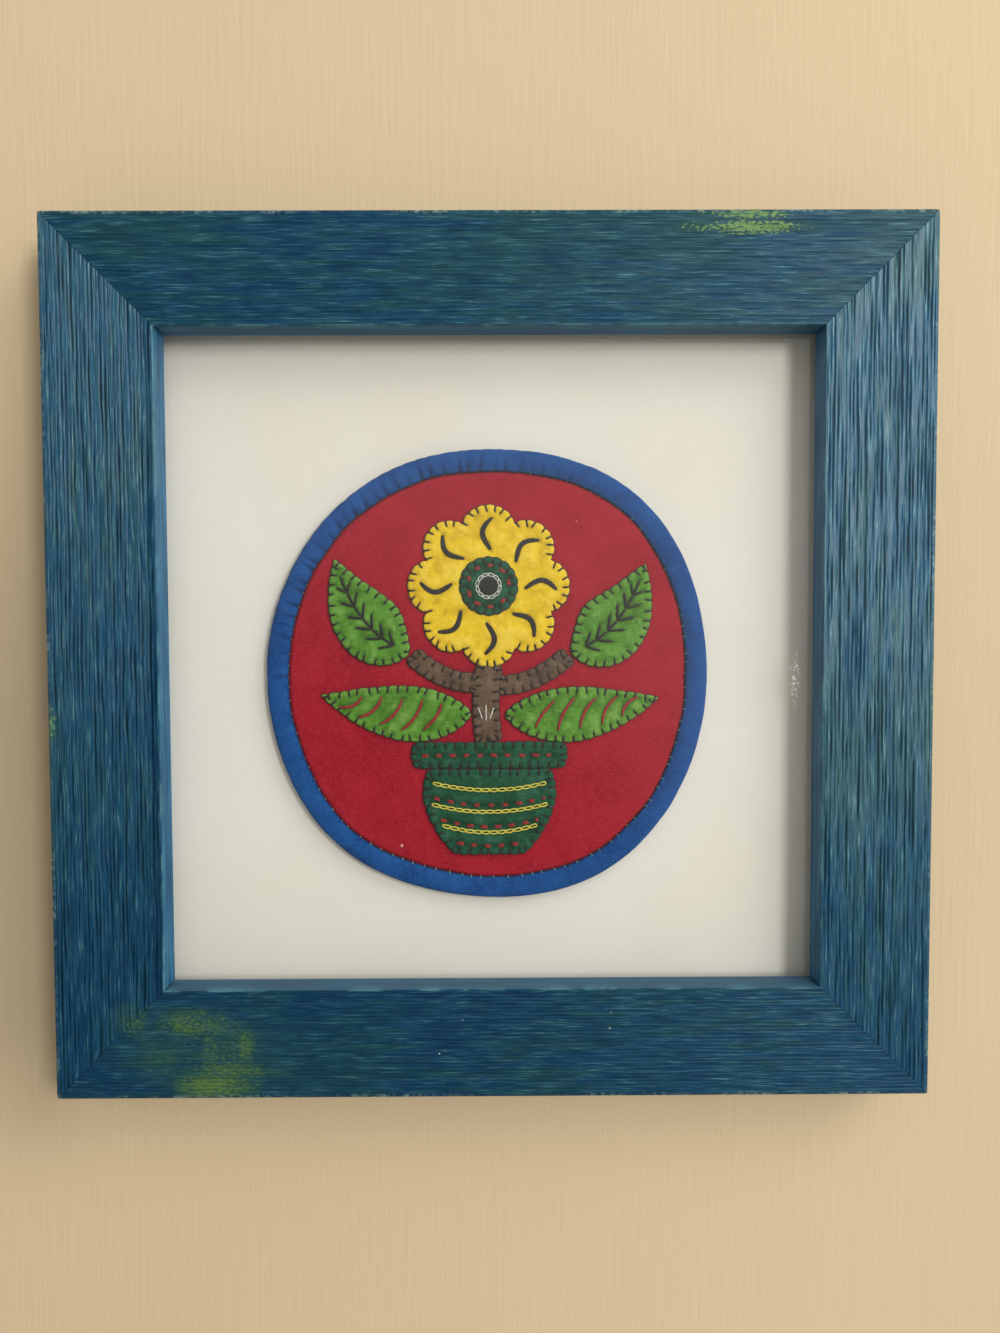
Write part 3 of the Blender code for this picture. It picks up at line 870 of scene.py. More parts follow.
@dataclass
class CombedRails:
    """Four mitred rails: one section, its face combed into wavy ridges along the rail.

    The level rails are combed less deep. At three places along each rail, counted clockwise from the viewer's
    side, a share sets how pale the paint is: partly dry brushing, partly painted sheen and light falloff, so
    the right rail is brightest and the bottom one darkest. The share is lower along the left rail's inner
    margin, which comes out darker. Each rail leans to teal or to blue, and the level ones' lips get painted
    shade, a darker, greyer paint.
    """

    centre_up: float
    finish: Material
    outer_half: float = 131.0 * MM
    sight_half: float = 96.4 * MM
    lip_half: float = 97.2 * MM
    glass_rebate_half: float = 101.8 * MM
    card_rebate_half: float = 106.8 * MM
    edge_thickness: float = 22.0 * MM
    face_rise: float = 2.3 * MM
    glass_seat: float = -16.9 * MM
    card_seat: float = -9.4 * MM
    outer_round: float = 1.1 * MM
    lip_round: float = 0.25 * MM
    corner_round: float = 1.3 * MM
    mitre_gap: float = 0.08 * MM
    comb_pitch: float = 1.2 * MM
    comb_depth: float = 0.34 * MM
    face_steps: int = 244
    length_steps: int = 236
    level_comb_share: float = 0.62
    upright_comb_share: float = 0.92
    upright_stretch: float = 1.7
    worn_edge_width: float = 0.75 * MM
    nose_highlight_width: float = 0.29 * MM
    margin_half: float = 98.9 * MM
    margin_width: float = 0.9 * MM
    dry_brush_and_sheen_along: dict[Side, tuple[float, float, float]] = field(default_factory=lambda: {
        Side.TOP: (0.16, 0.22, 0.36),
        Side.RIGHT: (0.90, 0.76, 0.36),
        Side.BOTTOM: (0.27, 0.11, 0.05),
        Side.LEFT: (0.18, 0.42, 0.70),
    })
    teal: dict[Side, float] = field(default_factory=lambda: {
        Side.TOP: 0.02, Side.RIGHT: -0.03, Side.BOTTOM: -0.05, Side.LEFT: -0.10,
    })
    lip_shade_share: dict[Side, float] = field(default_factory=lambda: {Side.TOP: 0.45, Side.BOTTOM: 0.70})

    def section(self) -> tuple[Array, Array, Array, Array]:
        """The rail's section: a slanted face between rounded edges, the lip, the stepped rebate and the back.

        Returns:
            Distance from the frame's centre, depth y, comb depth share and combed-paint share of each point,
            from the back outer edge.
        """
        lip_y = -self.edge_thickness - self.face_rise
        arc = np.linspace(0, math.pi / 2, 5)
        side_y = np.linspace(0, -self.edge_thickness + self.outer_round, 6)[:-1]
        outer = np.stack([np.full_like(side_y, self.outer_half), side_y], 1)
        bull = np.stack([
            self.outer_half - self.outer_round * (1 - np.cos(arc)),
            -self.edge_thickness + self.outer_round * (1 - np.sin(arc)),
        ], 1)
        outer_edge, lip_edge = self.outer_half - self.outer_round, self.lip_half + self.lip_round
        half = np.linspace(outer_edge, lip_edge, self.face_steps)
        share = (self.outer_half - half) / (self.outer_half - self.lip_half)
        face = np.stack([half, -self.edge_thickness - self.face_rise * share], 1)[1:-1]
        nose = np.stack([
            self.lip_half + self.lip_round * (1 - np.sin(arc)),
            lip_y + self.lip_round * (1 - np.cos(arc)),
        ], 1)
        rest = np.array([
            (self.lip_half * 0.5 + self.sight_half * 0.5, (lip_y + self.glass_seat) / 2),
            (self.sight_half, self.glass_seat),
            (self.glass_rebate_half, self.glass_seat),
            (self.glass_rebate_half, self.card_seat),
            (self.card_rebate_half, self.card_seat),
            (self.card_rebate_half, 0.0),
            (0.5 * (self.card_rebate_half + self.outer_half), 0.0),
        ])
        whole = np.concatenate([outer, bull, face, nose, rest])
        weight, painted = np.zeros(len(whole)), np.zeros(len(whole))
        first = len(outer) + len(bull)
        from_edges = np.minimum(half - half[-1], half[0] - half)
        weight[first:first + len(face)] = np.clip(from_edges / (0.3 * MM), 0.25, 1)[1:-1]
        painted[:first + len(face) + len(nose) - 1] = 1
        return whole[:, 0], whole[:, 1], weight, painted

    def comb(self, along: Array, half: Array, seed: int, stretch: float) -> Array:
        """Depth of the combing, from 0 on a crest to 1 in a groove.

        A cosine across the rail whose phase sways along it, mixed with noise stretched along the rail at two
        finer spacings, so that ridges merge, part and end. A steep ease makes crests and grooves of the sum.

        Args:
            along: distance along the rail.
            half: distance from the frame's centre.
            seed: sets one rail apart from the next.
            stretch: how much longer than usual the ridges run.

        Returns:
            Depths of the same shape.
        """
        sway = 0.55 * soft_noise(along / (42 * MM), half / (9 * MM), seed)
        shiver = 0.30 * soft_noise(along / (9 * MM), half / (1.6 * MM), seed + 1)
        phase = half / self.comb_pitch + sway + shiver
        even = 0.5 - 0.5 * np.cos(TURN * phase)
        drawn = half + 0.45 * MM * soft_noise(along / (30 * MM), half / (7 * MM), seed + 4)
        uneven = soft_noise(along / (11 * stretch * MM), drawn / (0.56 * MM), seed + 2)
        scratch = soft_noise(along / (5 * stretch * MM), drawn / (0.27 * MM), seed + 3)
        total = 0.26 * even + 0.40 * uneven + 0.34 * scratch
        level = np.clip((total - 0.40) / 0.39, 0, 1)
        return level * level * (3 - 2 * level)

    def rail(self, side: Side) -> Piece:
        """Builds one rail: x runs from one mitre plane to the other, so each point's reach is its own half.

        Args:
            side: which rail.

        Returns:
            The rail's object.
        """
        half, depth, weight, painted = self.section()
        reach = np.linspace(-1, 1, self.length_steps)[:, None]
        across = np.broadcast_to(half[None], (self.length_steps, len(half))).copy()
        along = reach * (across - self.mitre_gap / 2 * math.sqrt(2))
        seed = 10 + 7 * round(side.value * 4)
        level = side in (Side.TOP, Side.BOTTOM)
        dent = self.comb(along, across, seed, 1.0 if level else self.upright_stretch) * weight[None]
        dent *= self.level_comb_share if level else self.upright_comb_share
        worn = (soft_noise(along / (9 * MM), across / (3 * MM), seed + 5) - 0.5) * 0.12 * MM
        into = depth[None] + dent * self.comb_depth + worn * weight[None]
        along, across = self.round_corner(along, across)
        turn = side.value * TURN
        right = along * math.cos(turn) + across * math.sin(turn)
        up = across * math.cos(turn) - along * math.sin(turn)
        net = np.stack([right, into, up + self.centre_up], 2)
        round_section = np.concatenate([[0], np.cumsum(np.hypot(np.diff(half), np.diff(depth)))])
        shape = Shape()
        v = np.linspace(-self.outer_half, self.outer_half, self.length_steps) + 0.7 * side.value
        u = np.append(round_section, round_section[-1] + half[0] - half[-1])
        shape.grid(net, u, v, wrap_columns=True)
        shape.corners = [corner[:, ::-1] for corner in shape.corners]
        points = len(half)
        shape.cap(0, points)
        shape.cap((self.length_steps - 1) * points, points)
        plain = np.where(weight > 0, 1 - dent, 0.62)
        edge_gap = np.hypot(half - self.outer_half, depth + self.edge_thickness)
        worn_edge = bell(edge_gap - 0.4 * MM, self.worn_edge_width)
        nose_gap = np.hypot(half - self.lip_half, depth + self.edge_thickness + self.face_rise)
        margin = 0.4 * bell(half - self.margin_half, self.margin_width) * (side is Side.LEFT)
        marks = {
            "crest": plain,
            "combed": np.broadcast_to(painted[None], dent.shape),
            "edge": np.broadcast_to(worn_edge[None], dent.shape),
            # The nose mark places a painted highlight along the lip's rounded edge.
            "nose": np.broadcast_to(bell(nose_gap, self.nose_highlight_width)[None], dent.shape),
            # Painted sheen and falloff with dry brushing: paler on the right rail, darker on the bottom and the
            # left margin.
            "dry_brush_and_sheen": np.interp(reach, (-0.8, 0.0, 0.8), self.dry_brush_and_sheen_along[side]) - margin[None],
            "teal": np.full(dent.shape, self.teal[side]),
            "lip_shade": np.full(dent.shape, self.lip_shade_share.get(side, 0.0)),
        }
        name = side.name.lower()
        piece = shape.build(f"rail_{name}_wood", self.finish, seal=True, marks=marks)
        return attach(piece, "painted_wood", f"rail_{name}")

    def round_corner(self, along: Array, across: Array) -> tuple[Array, Array]:
        """Rounds the frame's outer corners in plan: points beyond the corner circle are drawn back to it.

        Args:
            along: distance along the rail from its middle.
            across: distance from the frame's centre.

        Returns:
            The two distances, drawn in.
        """
        inner = self.outer_half - self.corner_round
        over_along, over_across = np.abs(along) - inner, across - inner
        far = np.hypot(over_along, over_across)
        outside = (over_along > 0) & (over_across > 0) & (far > self.corner_round)
        shrink = np.where(outside, self.corner_round / np.maximum(far, 1e-9), 1.0)
        new_along = np.where(outside, np.sign(along) * (inner + over_along * shrink), along)
        new_across = np.where(outside, inner + over_across * shrink, across)
        return new_along, new_across

    def build(self) -> None:
        """Builds all four rails."""
        for side in Side:
            self.rail(side)


# Patch


@dataclass(frozen=True)
class PatchPlane:
    """The patch's own place: right and up from its centre, and height from its back towards the viewer."""

    right: float
    back: float
    up: float

    def set_out(self, flat: Array, height: Array | float) -> Array:
        """Puts flat places at a height.

        Args:
            flat: (..., 2) places, right and up.
            height: heights above the patch's back, of the leading shape.

        Returns:
            (..., 3) points in the frame.
        """
        depth = self.back - np.broadcast_to(height, flat.shape[:-1])
        return np.stack([self.right + flat[..., 0], depth, self.up + flat[..., 1]], -1)


@dataclass(frozen=True)
class Rim:
    """The patch's uneven hand-cut edge: a circle with a few slow waves (count, height, peak in degrees)."""

    radius: float = 68.6 * MM
    binding_width: float = 6.35 * MM
    waves: tuple[tuple[int, float, float], ...] = (
        (2, 0.92 * MM, 155.0),
        (3, 0.55 * MM, 180.0),
        (4, 0.89 * MM, 171.0),
        (6, 0.26 * MM, -44.0),
    )

    def at(self, angle: Array) -> Array:
        """Radius at each angle: the mean radius plus height times cos(count * angle - peak)."""
        swell = sum(height * np.cos(count * angle - math.radians(peak)) for count, height, peak in self.waves)
        return self.radius + swell

    def seam(self, angle: Array) -> Array:
        """Radius of the binding's inner edge: the rim's radius less the binding's width, plus slow noise."""
        wander = (soft_noise(angle / TURN * 38 % 38, np.zeros_like(angle), 91) - 0.5) * 0.7 * MM
        return self.at(angle) - self.binding_width + wander


@dataclass(frozen=True)
class StripCut:
    """A leaf or stem about a curved centre line, in millimetres from the patch's centre."""

    start: tuple[float, float]
    bend: tuple[float, float]
    end: tuple[float, float]
    width: float
    leaf: bool
    corner: float = 1.0

    def centre(self, share: Array) -> Array:
        """Points of the centre line, in metres."""
        return bend_line(self.start, self.bend, self.end, share) * MM

    def half(self, share: Array) -> Array:
        """Half width: sin(pi t^0.8)^0.85 on a leaf, even with rounded corners on a stem.

        Args:
            share: places t along the centre line, from 0 to 1.

        Returns:
            Half widths, in metres.
        """
        if self.leaf:
            return self.width / 2 * MM * np.sin(math.pi * np.clip(share, 0, 1) ** 0.8).clip(0) ** 0.85
        length = path_length(self.centre(np.linspace(0, 1, 40)))
        from_end = np.minimum(share, 1 - share) * length
        short = np.clip(self.corner * MM - from_end, 0, None)
        drawn_in = self.corner * MM - np.sqrt(np.clip((self.corner * MM) ** 2 - short ** 2, 0, None))
        return self.width / 2 * MM - drawn_in

    def outline(self) -> tuple[Array, Array]:
        """The cut's edge, up one side and down the other, and the centre-line place that each point looks to.

        Returns:
            (n, 2) edge points and their (n, 2) roots; the two sides share their roots, so the net closes.
        """
        length = path_length(self.centre(np.linspace(0, 1, 40)))
        steps = int(length / (0.34 * MM))
        share = 0.5 - 0.5 * np.cos(np.linspace(0, math.pi, steps)) if self.leaf else np.linspace(0, 1, steps)
        share = 0.65 * share + 0.35 * np.linspace(0, 1, steps)
        line = self.centre(share)
        side = sideways(line)
        half = self.half(share)[:, None]
        margin = 0.13 if self.leaf else min(0.45, self.width / 2 * MM / length)
        root = self.centre(np.clip(share, margin, 1 - margin))
        across = np.linspace(1, -1, max(3, int(self.width / 0.4)))[1:-1, None]
        cap_end = line[-1] + side[-1] * half[-1] * across
        cap_start = line[0] - side[0] * half[0] * across
        if self.leaf:
            cap_end, cap_start = cap_end[:0], cap_start[:0]
        edge = np.concatenate([line + side * half, cap_end, (line - side * half)[::-1], cap_start])
        roots = np.concatenate([
            root, np.repeat(root[-1:], len(cap_end), 0), root[::-1], np.repeat(root[:1], len(cap_start), 0),
        ])
        return edge, roots


@dataclass(frozen=True)
class BloomCut:
    """A scalloped flower: radius = notch + (tip - notch) |cos(petals/2 * angle)|^0.6, in millimetres."""

    centre: tuple[float, float] = (0.0, 27.0)
    petals: int = 8
    tip: float = 24.6
    notch: float = 19.8

    def outline(self) -> tuple[Array, Array]:
        """The flower's edge.

        Returns:
            (n, 2) edge points and their common root at the centre.
        """
        angle = np.linspace(0, TURN, 52 * self.petals, endpoint=False)
        lobe = np.abs(np.cos(self.petals / 2 * angle)) ** 0.6
        radius = (self.notch + (self.tip - self.notch) * lobe) * MM
        centre = np.array(self.centre) * MM
        edge = centre + radius[:, None] * spokes(angle)
        return edge, np.repeat(centre[None], len(edge), 0)


@dataclass(frozen=True)
class RowsCut:
    """A shape that is the same on both sides, from rows of (up, half width), in millimetres."""

    rows: tuple[tuple[float, float], ...]
    root_half: float = 0.0

    def outline(self) -> tuple[Array, Array]:
        """Edge points, evenly spaced, and their roots on a level line through the middle.

        Returns:
            (n, 2) edge points and their (n, 2) roots.
        """
        rows = np.array(self.rows) * MM
        right = np.stack([rows[:, 1], rows[:, 0]], 1)
        base = np.array([[0.0, rows[0, 0]]])
        top = np.array([[0.0, rows[-1, 0]]])
        path = np.concatenate([base, right, top])
        side = resample(path, int(path_length(path) / (0.36 * MM)))
        edge = np.concatenate([side, (side * [-1, 1])[::-1][1:-1]])
        middle = (rows[0, 0] + rows[-1, 0]) / 2
        roots = np.stack([
            np.clip(edge[:, 0], -self.root_half * MM, self.root_half * MM), np.full(len(edge), middle),
        ], 1)
        return edge, roots


def smooth_loop(edge: Array, passes: int) -> Array:
    """Softens a closed outline: a pass moves each point to (before + 2 point + after) / 4.

    Args:
        edge: (n, 2) points.
        passes: how often.

    Returns:
        (n, 2) points.
    """
    for _ in range(passes):
        edge = (np.roll(edge, 1, 0) + edge * 2 + np.roll(edge, -1, 0)) / 4
    return edge


@dataclass
class Applique:
    """One cut piece of cotton with its edge turned under, held down by blanket stitch and embroidery."""

    node: str
    slot: str
    cut: StripCut | BloomCut | RowsCut
    plane: PatchPlane
    finish: Material
    seed: int
    base: float = 2.3 * MM
    thickness: float = 1.15 * MM
    bar_spacing: float = 3.05 * MM
    bar_length: float = 1.70 * MM
    roll_width: float = 0.8 * MM
    pulled_in: float = 0.34 * MM
    held_down: float = 0.27 * MM
    sewn_down: float = 0.30 * MM
    embroidery: list[Array] = field(default_factory=list)

    def __post_init__(self) -> None:
        """Works out the edge, where the bars sit on it, and how they draw it in."""
        edge, self.roots = self.cut.outline()
        if not isinstance(self.cut, StripCut):
            edge = smooth_loop(edge, 2)
        rng = np.random.default_rng(self.seed)
        loop = np.concatenate([edge, edge[:1]])
        steps = np.linalg.norm(np.diff(loop, axis=0), axis=1)
        place = np.concatenate([[0], np.cumsum(steps)])
        total = place[-1]
        bars = max(6, round(total / self.bar_spacing))
        at = (np.arange(bars) + 0.25 * (rng.random(bars) - 0.5)) / bars * total % total
        inward = self.inward(edge)
        gap = np.abs(place[:-1, None] - at[None])
        gap = np.minimum(gap, total - gap).min(1)
        wander = (soft_noise(place[:-1] / (5 * MM), np.zeros(len(edge)), self.seed) - 0.5) * 0.35 * MM
        closing = np.sin(math.pi * np.arange(len(edge)) / len(edge)) ** 2
        pull = self.pulled_in * bell(gap, 0.62 * MM) - 0.10 * MM + wander * closing
        self.edge = edge + inward * pull[:, None]
        foot = np.stack([np.interp(at, place[:-1], self.edge[:, k]) for k in range(2)], 1)
        way = np.stack([np.interp(at, place[:-1], inward[:, k]) for k in range(2)], 1)
        slant = (rng.random(bars) - 0.5) * 0.5
        way = way + np.stack([-way[:, 1], way[:, 0]], 1) * slant[:, None]
        length = self.bar_length * (0.85 + 0.35 * rng.random(bars))
        share = np.linspace(-0.12, 1, 6)[None, :, None]
        self.bars = foot[:, None] + way[:, None] * length[:, None, None] * share
        self.pulled = self.bars[:, 1:].reshape(-1, 2)

    def inward(self, edge: Array) -> Array:
        """Unit directions from the edge into the piece: its normals, turned towards the roots.

        Args:
            edge: (n, 2) points of the edge.

        Returns:
            (n, 2) directions.
        """
        run = np.roll(edge, -1, 0) - np.roll(edge, 1, 0)
        normal = np.stack([-run[:, 1], run[:, 0]], 1)
        normal /= np.linalg.norm(normal, axis=1, keepdims=True) + 1e-12
        towards = np.sign((normal * (self.roots - edge)).sum(1, keepdims=True))
        return normal * np.where(towards == 0, 1, towards)

    def relief(self, flat: Array) -> tuple[Array, Array]:
        """The cloth's face: a quarter-round edge and a slight crown, drawn down at stitches and puckered.

        Args:
            flat: (..., 2) places on the piece.

        Returns:
            Heights above the patch's back before the cloth is drawn down, and how far down it is drawn.
        """
        places = flat.reshape(-1, 2)
        gap = nearest(places, self.edge)
        roll = np.clip(gap / self.roll_width, 0, 1)
        rise = self.thickness * (0.35 + 0.65 * np.sqrt(1 - (1 - roll) ** 2))
        crown = 0.16 * MM * (1 - np.exp(-gap / (2.5 * MM)))
        held = self.held_down * bell(nearest(places, self.pulled), 0.46 * MM) * (0.35 + 0.65 * roll)
        sewn = np.zeros(len(places))
        if self.embroidery:
            lines = np.concatenate([line.reshape(-1, 2) for line in self.embroidery])
            sewn = self.sewn_down * bell(nearest(places, lines), 0.85 * MM)
        pucker = (soft_noise(places[:, 0] / (3.2 * MM), places[:, 1] / (3.2 * MM), self.seed + 3) - 0.5)
        fine = (soft_noise(places[:, 0] / (1.2 * MM), places[:, 1] / (1.2 * MM), self.seed + 4) - 0.5)
        pucker = (pucker * 0.44 + fine * 0.20) * MM * np.clip(gap / (1.6 * MM), 0, 1)
        whole = self.base + rise + crown
        return whole.reshape(flat.shape[:-1]), (held + sewn - pucker).reshape(flat.shape[:-1])

    def height(self, flat: Array) -> Array:
        """Heights of the cloth's face above the patch's back, at (..., 2) places on the piece."""
        whole, drawn = self.relief(flat)
        return whole - drawn

    def area(self) -> float:
        """Flat area inside the edge: half the sum of x_i y_(i+1) - x_(i+1) y_i."""
        following = np.roll(self.edge, -1, 0)
        return abs(float((self.edge[:, 0] * following[:, 1] - following[:, 0] * self.edge[:, 1]).sum() / 2))

    def build(self) -> Piece:
        """Builds the cloth: rings from the edge to the roots, closed underneath.

        Returns:
            The cloth's object.
        """
        reach = float(np.linalg.norm(self.roots - self.edge, axis=1).max())
        rings = int(np.clip(reach / (0.42 * MM), 10, 44))
        share = np.linspace(0, 1, rings) ** 1.25
        flat = self.edge[None] + (self.roots - self.edge)[None] * share[:, None, None]
        height, drawn = self.relief(flat)
        net = self.plane.set_out(flat, height - drawn)
        foot = self.plane.set_out(self.edge[None], np.full((1, len(self.edge)), self.base - 0.05 * MM))
        shape = Shape()
        count = len(self.edge)
        whole = np.concatenate([foot, net])
        shape.grid(whole, np.linspace(0, 1, count + 1), np.linspace(0, 1, rings + 1), wrap_columns=True)
        shape.cap(0, count)
        gap = nearest(flat.reshape(-1, 2), self.edge)
        edge_mark = np.concatenate([np.full(count, 0.6), bell(gap, 0.9 * MM)])
        # Painted shade at the bars and sewn lines, painted highlight on the puffs between.
        relief_shade_and_highlight = np.concatenate([np.full(count, 0.5), np.clip(0.35 + drawn / (0.55 * MM), 0, 1).ravel()])
        piece = shape.build(f"{self.node}_cloth", self.finish, 70, True, {"edge": edge_mark, "relief_shade_and_highlight": relief_shade_and_highlight})
        return attach(piece, self.slot, self.node)


@dataclass
class Ground:
    """The round red cloth: nearly flat, puckered at the binding's seam, drawn down beside each applique."""

    plane: PatchPlane
    rim: Rim
    finish: Material
    neighbours: list[Applique]
    inset: float = 1.8 * MM
    back: float = 1.3 * MM
    front: float = 2.3 * MM
    rings: int = 58
    spokes: int = 300
    puckers: int = 78

    def height(self, flat: Array) -> Array:
        """Height of the face: slow waves, short puckers at the seam and a dip round each applique.

        Args:
            flat: (..., 2) places.

        Returns:
            Heights above the patch's back.
        """
        places = flat.reshape(-1, 2)
        radius, angle = np.hypot(*places.T), np.arctan2(places[:, 1], places[:, 0])
        slow = (soft_noise(places[:, 0] / (11 * MM), places[:, 1] / (11 * MM), 71) - 0.5) * 0.28 * MM
        from_seam = self.rim.seam(angle) - radius
        ebbing = np.exp(-np.clip(from_seam, 0, None) / (4 * MM))
        wave = np.sin(self.puckers * angle + 1.7 * np.sin(7 * angle)) * 0.10 * MM * ebbing
        edges = np.concatenate([piece.edge[::2] for piece in self.neighbours])
        near = nearest(places, edges)
        dip = 0.22 * MM * bell(near, 1.1 * MM) + 0.40 * MM * bell(from_seam, 0.6 * MM)
        return (self.front + slow + wave - dip).reshape(flat.shape[:-1])

    def build(self) -> Piece:
        """Builds the disc as two nets of rings joined at the edge.

        Returns:
            The cloth's object.
        """
        angle = np.linspace(0, TURN, self.spokes, endpoint=False)
        way = spokes(angle)
        edge = (self.rim.at(angle) - self.inset)[:, None] * way
        seam = self.rim.seam(angle)[:, None] * way
        close = np.concatenate([np.linspace(-0.9, 1.5, 13) * MM / self.rim.radius, [0.034]])
        share = np.concatenate([1 - close, np.linspace(0.955, 0.004, self.rings)])[:, None, None]
        flat = np.concatenate([edge[None], seam[None] * share])
        height = self.height(flat)
        front = self.plane.set_out(flat, height)
        few = np.linspace(0.004, 1, 8)[:, None, None]
        back = self.plane.set_out(edge[None] * few, self.back)
        shape = Shape()
        whole = np.concatenate([front, back])
        rows = len(whole)
        shape.grid(whole, np.linspace(0, 1, self.spokes + 1), np.linspace(0, 1, rows + 1), True, True)
        mark = np.zeros(whole.shape[:2])
        past_seam = np.hypot(flat[..., 0], flat[..., 1]) - self.rim.seam(angle)
        # Painted shadow: the edge mark along the binding's inner edge darkens the red cloth there.
        mark[:len(flat)] = bell(past_seam, 0.45 * MM)
        # Painted shadow round each applique and along the seam, where the red cloth dips.
        relief_shade_and_highlight = np.full(whole.shape[:2], 0.35)
        relief_shade_and_highlight[:len(flat)] = np.clip(0.35 + (self.front - height) / (1.1 * MM), 0, 1)
        piece = shape.build("ground_cloth", self.finish, 60, True, {"edge": mark, "relief_shade_and_highlight": relief_shade_and_highlight})
        return attach(piece, "red_cloth", "ground")


@dataclass
class Binding:
    """The blue strip folded round the edge: a section carried round the rim, creased at each slip stitch."""

    plane: PatchPlane
    rim: Rim
    finish: Material
    steps: int = 1300
    slip_count: int = 106
    section: tuple[tuple[float, float], ...] = (
        (6.2, 0.05), (3.6, 0.0), (1.2, 0.0), (0.5, 0.22), (0.12, 0.62), (0.0, 1.15), (-0.03, 1.8), (0.0, 2.4),
        (0.14, 2.9), (0.42, 3.28), (0.85, 3.52), (1.5, 3.68), (2.3, 3.78), (3.1, 3.80), (3.9, 3.74),
        (4.7, 3.58), (5.4, 3.32), (6.0, 2.98), (6.35, 2.66), (6.45, 2.40), (6.0, 2.34), (3.6, 2.45),
        (1.5, 2.45), (1.5, 1.1), (3.8, 1.1), (6.2, 1.0),
    )

    def __post_init__(self) -> None:
        """Places the slip stitches: even steps round the rim, each a little off."""
        rng = np.random.default_rng(505)
        even = np.arange(self.slip_count) + 0.45 * (rng.random(self.slip_count) - 0.5)
        self.slip_angle = even / self.slip_count * TURN
        upper_left = 0.5 + 0.5 * np.cos(self.slip_angle - math.radians(132))
        self.slip_depth = (0.14 + 0.86 * upper_left ** 2.2) * (0.45 + 0.75 * rng.random(self.slip_count))
        self.slip_lean = 0.9 * (rng.random(self.slip_count) - 0.35)

    def build(self) -> Piece:
        """Builds the strip.

        Returns:
            Its object.
        """
        section = np.array(self.section) * MM
        angle = np.linspace(0, TURN, self.steps, endpoint=False)
        inward, height = section[:, 0][None], section[:, 1][None]
        width = (self.rim.at(angle) - self.rim.seam(angle))[:, None] / self.rim.binding_width
        away = angle[:, None] - self.slip_angle[None]
        away = (away + math.pi) % TURN - math.pi
        arc = away * self.rim.radius
        front = np.clip((height - 2.7 * MM) / (0.5 * MM), 0, 1)
        share_in = np.clip(inward / self.rim.binding_width, 0, 1)
        creases = np.zeros((self.steps, len(section)))
        for column in range(len(section)):
            outwards = 1 - share_in[0, column]
            lean = self.slip_lean[None] * outwards * 2.6 * MM
            spread = (0.72 + 0.50 * outwards) * MM
            fold = bell(arc - lean, spread) * self.slip_depth[None]
            creases[:, column] = fold.max(1)
        reach = share_in ** 1.5 * 0.95 + 0.05
        swell = (soft_noise(angle[:, None] / TURN * 70 % 70, inward / (3 * MM), 33) - 0.5) * 0.30 * MM
        raised = height - front * (creases * reach * 0.95 * MM - swell)
        raised = np.where((front > 0.5) & (share_in > 0.3), np.maximum(raised, 2.44 * MM), raised)
        scallop = (creases.mean(1, keepdims=True) - 0.2) * 0.16 * MM + swell[:, 3:4] * 0.6
        drawn_out = np.clip((share_in - 0.6) / 0.4, 0, 1) * creases * 0.38 * MM
        pulled = inward * width + np.clip(1 - share_in * 2.5, 0, 1) * scallop - drawn_out
        radius = self.rim.at(angle)[:, None] - pulled
        flat = radius[..., None] * spokes(angle)[:, None]
        net = self.plane.set_out(flat, raised)
        shape = Shape()
        u = np.concatenate([[0], np.cumsum(np.hypot(*np.diff(section, axis=0).T)), [36 * MM]])
        v = np.linspace(0, TURN * self.rim.radius, self.steps + 1)
        shape.grid(net, u, v, True, True)
        # Painted shadow: the edge mark at the strip's folded inner edge brings the blue cloth's dark seam
        # colour.
        turned = np.clip((section[:, 0] - 6.02 * MM) / (0.3 * MM), 0, 1) * (section[:, 1] > 1.5 * MM)
        edge = np.broadcast_to(turned[None], creases.shape)
        # Painted shade in the creases, painted highlight on the swells.
        relief_shade_and_highlight = np.clip(0.30 + creases * reach * 0.75 - swell / (0.9 * MM), 0, 1)
        piece = shape.build("binding_cloth", self.finish, 75, True, {"edge": edge, "relief_shade_and_highlight": relief_shade_and_highlight})
        return attach(piece, "blue_cloth", "binding")


# Stitches


